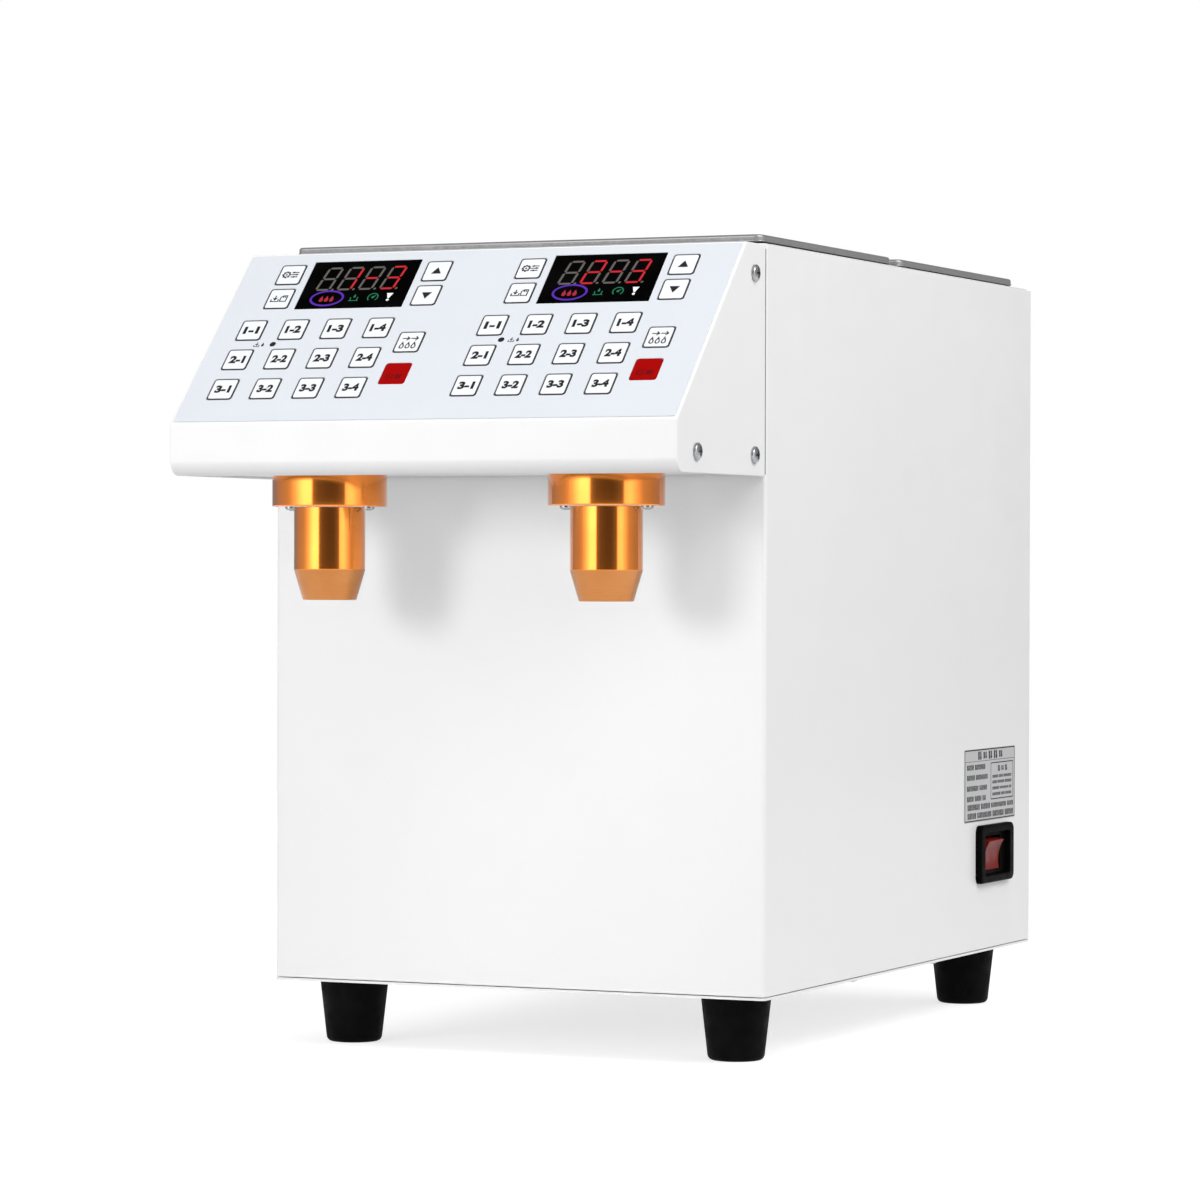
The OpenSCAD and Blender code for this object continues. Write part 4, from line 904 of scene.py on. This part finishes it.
def make_label():
    """A thin grey plate on the cabinet's right side: a border, a box and rows of plain strokes."""
    width, height = LABEL_SIZE
    corners = rounded_ring(width, height, 1.0 * MM, 4)
    plate = loft([level(corners, 0), level(corners, LABEL_RISE)], cap_last=True)
    border = ribbon(rounded_ring(width - 1.6 * MM, height - 1.2 * MM, 0.6 * MM, 3), 0.7 * MM, True)
    rule = strokes([(-41, 13.2), (41, 13.2)], width=0.25 * MM)
    box = moved(ribbon(rounded_ring(37 * MM, 20 * MM, 0.4 * MM, 3), 0.6 * MM, True), (20 * MM, 1.5 * MM, 0))
    prints = marked(joined([border, rule, box] + [print_row(*row) for row in LABEL_ROWS]), 1)
    shape = joined([plate, moved(prints, (0, 0, LABEL_RISE + PRINT_RISE))])
    low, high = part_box("cabinet_shell")
    origin = (high[0], cabinet_front() + LABEL_BEHIND, low[2] + LABEL_UP)
    piece("label_plate", on_right_side(shape, origin), [PLATE, BLACK_INK], MAIN_BODY)


# ---------------- power switch

RECESS_SIZE = (41.0 * MM, 23.5 * MM)
WELL_SIZE = (24.6 * MM, 19.0 * MM)
WELL_DEPTH = 9.0 * MM        # below the panel
ROCKER_SIZE = (24.0 * MM, 16.6 * MM)
ROCKER_FACE = 6.6 * MM       # distance of the face's edges from the pivot
ROCKER_DIP = 1.7 * MM        # depth of the hollow in the face
ROCKER_BACK = 3.0 * MM
ROCKER_TILT = 10.0           # degrees, the upper end out at rest
FRAME_EDGE = 1.2 * MM        # radius of the frame's soft edge
FRAME_CORNER = 4.0 * MM
FRAME_FLOOR = 0.2 * MM       # the recess's floor above the panel


def make_switch_frame():
    """Rounded rings from the panel over the frame's soft edge, then down through its recess into the well."""
    low, high = (np.array(corner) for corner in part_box("switch_housing"))
    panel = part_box("cabinet_shell")[1][0]
    proud = high[0] - panel
    width, height = high[1] - low[1], high[2] - low[2]
    rings = [level(rounded_ring(width, height, FRAME_CORNER), 0)]
    for a in np.linspace(0, math.pi / 2, 6):
        inset = FRAME_EDGE * (1 - math.cos(a))
        ring = rounded_ring(width - 2 * inset, height - 2 * inset, FRAME_CORNER - inset)
        rings.append(level(ring, proud - FRAME_EDGE * (1 - math.sin(a))))
    mouth = ((1.0 * MM, 2.4 * MM, proud), (0, 2.0 * MM, proud - 0.5 * MM), (0, 2.0 * MM, FRAME_FLOOR))
    for grown, radius, up in mouth:
        rings.append(level(rounded_ring(RECESS_SIZE[0] + grown, RECESS_SIZE[1] + grown, radius), up))
    rings += [level(rounded_ring(*WELL_SIZE, 0.6 * MM), up) for up in (FRAME_FLOOR, -WELL_DEPTH)]
    shape = on_right_side(loft(rings, cap_last=True), (panel, (low[1] + high[1]) / 2, (low[2] + high[2]) / 2))
    piece("switch_frame", shape, BLACK, MAIN_BODY, ["switch_housing"])


def make_rocker():
    """A block with a hollow face, w = face - dip (1 - (u / half)^2), swept along the pivot and tilted about
    it."""
    half = ROCKER_SIZE[1] / 2
    u = np.linspace(half, -half, 21)
    face = np.stack([u, ROCKER_FACE - ROCKER_DIP * (1 - (u / half) ** 2)], 1)
    outline = np.vstack([[(-half, -ROCKER_BACK), (half, -ROCKER_BACK)], face])
    t = math.radians(ROCKER_TILT)
    tilted = outline @ np.array([[math.cos(t), math.sin(t)], [-math.sin(t), math.cos(t)]])
    ends = (-ROCKER_SIZE[0] / 2, ROCKER_SIZE[0] / 2)
    rings = [np.column_stack([tilted[:, 1], np.full(len(tilted), y), tilted[:, 0]]) for y in ends]
    pivot = joint_of("switch_rocker_body")["pos_m"]
    rocker = piece("rocker", moved(loft(rings, True, True), pivot), RED_LENS, "switch_rocker_body",
                   ["switch_rocker"])
    soft = rocker.modifiers.new("soft edges", "BEVEL")
    soft.width = 0.5 * MM
    soft.segments = 3
    soft.limit_method = "ANGLE"


# ---------------- stage, lights and camera

CAMERA_PLACE = (968.9 * MM, -2202.9 * MM, 243.3 * MM)
CAMERA_YAW = 0.42175
CAMERA_PITCH = -0.006715
CAMERA_ROLL = -0.00272
FOCAL_PIXELS = 4549.8
PHOTO_PIXELS = 1200
SENSOR = 36.0

FLOOR_RADIUS = 2.6
FLOOR_SEEN = 0.45            # tone of the floor that the camera sees, which takes the shadow
FLOOR_GLOW = 0.72            # added to it, so that it reaches white
FLOOR_BOUNCE = 0.5           # tone of the floor that lights the object
CARD_BOUNCE = 0.36           # tone of a greyer card on the right, unseen by the camera
CARD_EDGE = (0.14, 0.3)      # where the floor goes over into the card
MATT_STRENGTH = 0.71         # brightness of the studio to matt surfaces
WALL_STRENGTH = 3.4          # brightness of the walls to gloss where their table says 1
CEILING = 0.13
# Azimuth in degrees, 0 in front and growing to the right, and how bright the studio is there to gloss
STUDIO_WALLS = [
    (-180, 0.06), (-116, 0.09), (-96, 0.14), (-68, 0.19), (-57, 0.26), (-46, 0.45), (-36, 0.75), (-27, 1.0),
    (-10, 1.0), (-7, 0.1), (5, 0.05), (23, 0.034), (40, 0.034), (57, 0.08), (60, 0.6), (73, 0.69), (82, 0.5),
    (91, 0.31), (101, 0.2), (123, 0.15), (150, 0.12), (180, 0.06),
]
CEILING_RISE = [(0.0, 0.0), (0.35, 0.0), (0.75, 1.0), (1.0, 1.0)]     # from walls to ceiling, by height


def make_camera():
    """A level long-lens camera in front of the right-hand corner."""
    data = bpy.data.cameras.new("camera")
    data.sensor_width = SENSOR
    data.lens = FOCAL_PIXELS / PHOTO_PIXELS * SENSOR
    data.clip_end = 100
    camera = bpy.data.objects.new("camera", data)
    camera.location = CAMERA_PLACE
    camera.rotation_mode = "XYZ"
    camera.rotation_euler = (math.pi / 2 + CAMERA_PITCH, CAMERA_ROLL, CAMERA_YAW)
    bpy.context.scene.collection.objects.link(camera)
    bpy.context.scene.camera = camera


def area_light(name, azimuth, distance, height, target, size, power):
    """A square soft box that faces its target. Azimuth 0 is in front, and it grows to the right."""
    data = bpy.data.lights.new(name, "AREA")
    data.shape = "RECTANGLE"
    data.size = data.size_y = size
    data.energy = power
    light = bpy.data.objects.new(name, data)
    a = math.radians(azimuth)
    place = Vector((distance * math.sin(a), -distance * math.cos(a), height))
    light.location = place
    light.rotation_euler = (Vector(target) - place).to_track_quat("-Z", "Y").to_euler()
    bpy.context.scene.collection.objects.link(light)
    return light


def make_lights():
    """A key light in front, a little to the left, a fill from the upper right, and a faint narrow lamp that
    lifts the cabinet's front under the head. Only the fill shows in gloss."""
    target = (0, -0.05, 0.22)
    key = area_light("key", -22, 2.4, 0.66, target, 0.6, 16)
    area_light("fill", 72, 1.5, 1.5, target, 0.9, 18.5)
    snoot = area_light("snoot", -30, 2.4, 0.2, (-0.02, -0.2, 0.1), 0.25, 0.028)
    snoot.data.spread = math.radians(12)
    for lamp in (key, snoot):
        lamp.visible_glossy = False


class Graph:
    """The nodes of the floor's material or of the world, started afresh."""

    def __init__(self, owner):
        owner.use_nodes = True
        self.nodes, self.links = owner.node_tree.nodes, owner.node_tree.links
        self.nodes.clear()

    def add(self, kind, *inputs, **settings):
        """A node's outputs. Its inputs, in order, are joined to sockets or set to values; None leaves one."""
        node = self.nodes.new("ShaderNode" + kind)
        for name, value in settings.items():
            setattr(node, name, value)
        for place, value in enumerate(inputs):
            if isinstance(value, bpy.types.NodeSocket):
                self.links.new(value, node.inputs[place])
            elif value is not None:
                node.inputs[place].default_value = value
        return node.outputs

    def any_ray(self, *kinds):
        """1 for a ray of any of these kinds, else 0."""
        path = self.add("LightPath")
        fac = path[kinds[0]]
        for kind in kinds[1:]:
            fac = self.add("Math", fac, path[kind], operation="MAXIMUM")[0]
        return fac

    def curve(self, factor, table):
        """A tone that runs in straight lines through a table of places and values."""
        low, high = table[0][0], table[-1][0]
        tone = self.add("ValToRGB", self.add("MapRange", factor, low, high, 0.0, 1.0)[0])[0]
        stops = tone.node.color_ramp.elements
        while len(stops) < len(table):
            stops.new(0.5)
        for stop, (place, value) in zip(stops, table):
            stop.position = (place - low) / (high - low)
            stop.color = (value, value, value, 1)
        return tone


def make_floor():
    """A round white floor. To the camera and to gloss it is white paper that still takes the object's shadow;
    to matt surfaces it is a plain grey, darker on the right."""
    mesh = bpy.data.meshes.new("floor")
    mesh.from_pydata(level(circle(FLOOR_RADIUS, 96), 0).tolist(), [], [list(range(96))])
    floor = bpy.data.objects.new("floor", mesh)
    bpy.context.scene.collection.objects.link(floor)
    paper = bpy.data.materials.new("white paper")
    graph = Graph(paper)
    across = graph.add("SeparateXYZ", graph.add("TexCoord")["Object"])[0]
    tone = graph.curve(across, list(zip(CARD_EDGE, (FLOOR_BOUNCE, CARD_BOUNCE))))
    bounce = graph.add("BsdfDiffuse", tone)[0]
    shaded = graph.add("BsdfDiffuse", (FLOOR_SEEN, FLOOR_SEEN, FLOOR_SEEN, 1))[0]
    seen = graph.add("AddShader", shaded, graph.add("Emission", None, FLOOR_GLOW)[0])[0]
    looked_at = graph.any_ray("Is Camera Ray", "Is Glossy Ray", "Is Transmission Ray")
    graph.add("OutputMaterial", graph.add("MixShader", looked_at, bounce, seen)[0])
    mesh.materials.append(paper)


def make_world():
    """A studio all round: white to the camera, plain to matt surfaces, and to gloss a ring of pale walls with
    a bright strip on each side of the dark gap where the camera stands, under a dim ceiling."""
    world = bpy.data.worlds.new("studio")
    bpy.context.scene.world = world
    graph = Graph(world)
    x, y, z = graph.add("SeparateXYZ", graph.add("TexCoord")["Generated"])
    forward = graph.add("Math", y, -1.0, operation="MULTIPLY")[0]
    azimuth = graph.add("Math", x, forward, operation="ARCTAN2")[0]
    walls = graph.curve(graph.add("Math", azimuth, 180 / math.pi, operation="MULTIPLY")[0], STUDIO_WALLS)
    round_about = graph.add("Mix", data_type="RGBA")["Result"]
    sockets = round_about.node.inputs
    sockets["B"].default_value = (CEILING, CEILING, CEILING, 1)
    graph.links.new(graph.curve(z, CEILING_RISE), sockets["Factor"])
    graph.links.new(walls, sockets["A"])
    gloss = graph.add("Background", round_about, WALL_STRENGTH)[0]
    matt = graph.add("Background", (1, 1, 1, 1), MATT_STRENGTH)[0]
    paper = graph.add("Background", (1, 1, 1, 1), 1.0)[0]
    lighting = graph.add("MixShader", graph.any_ray("Is Glossy Ray"), matt, gloss)[0]
    looked_through = graph.any_ray("Is Camera Ray", "Is Transmission Ray")
    graph.add("OutputWorld", graph.add("MixShader", looked_through, lighting, paper)[0])


# ---------------- the whole

make_camera()
make_floor()
make_world()
make_lights()
finish_cad_nodes()
make_keys()
make_pad_prints()
make_displays()
make_nozzles()
make_feet()
make_sheets()
make_gap_shadow_strips()
make_label()
make_switch_frame()
make_rocker()
for lid_node in ("front_lid", "rear_lid"):
    make_lid(lid_node)

bpy.context.scene.view_settings.view_transform = "Standard"
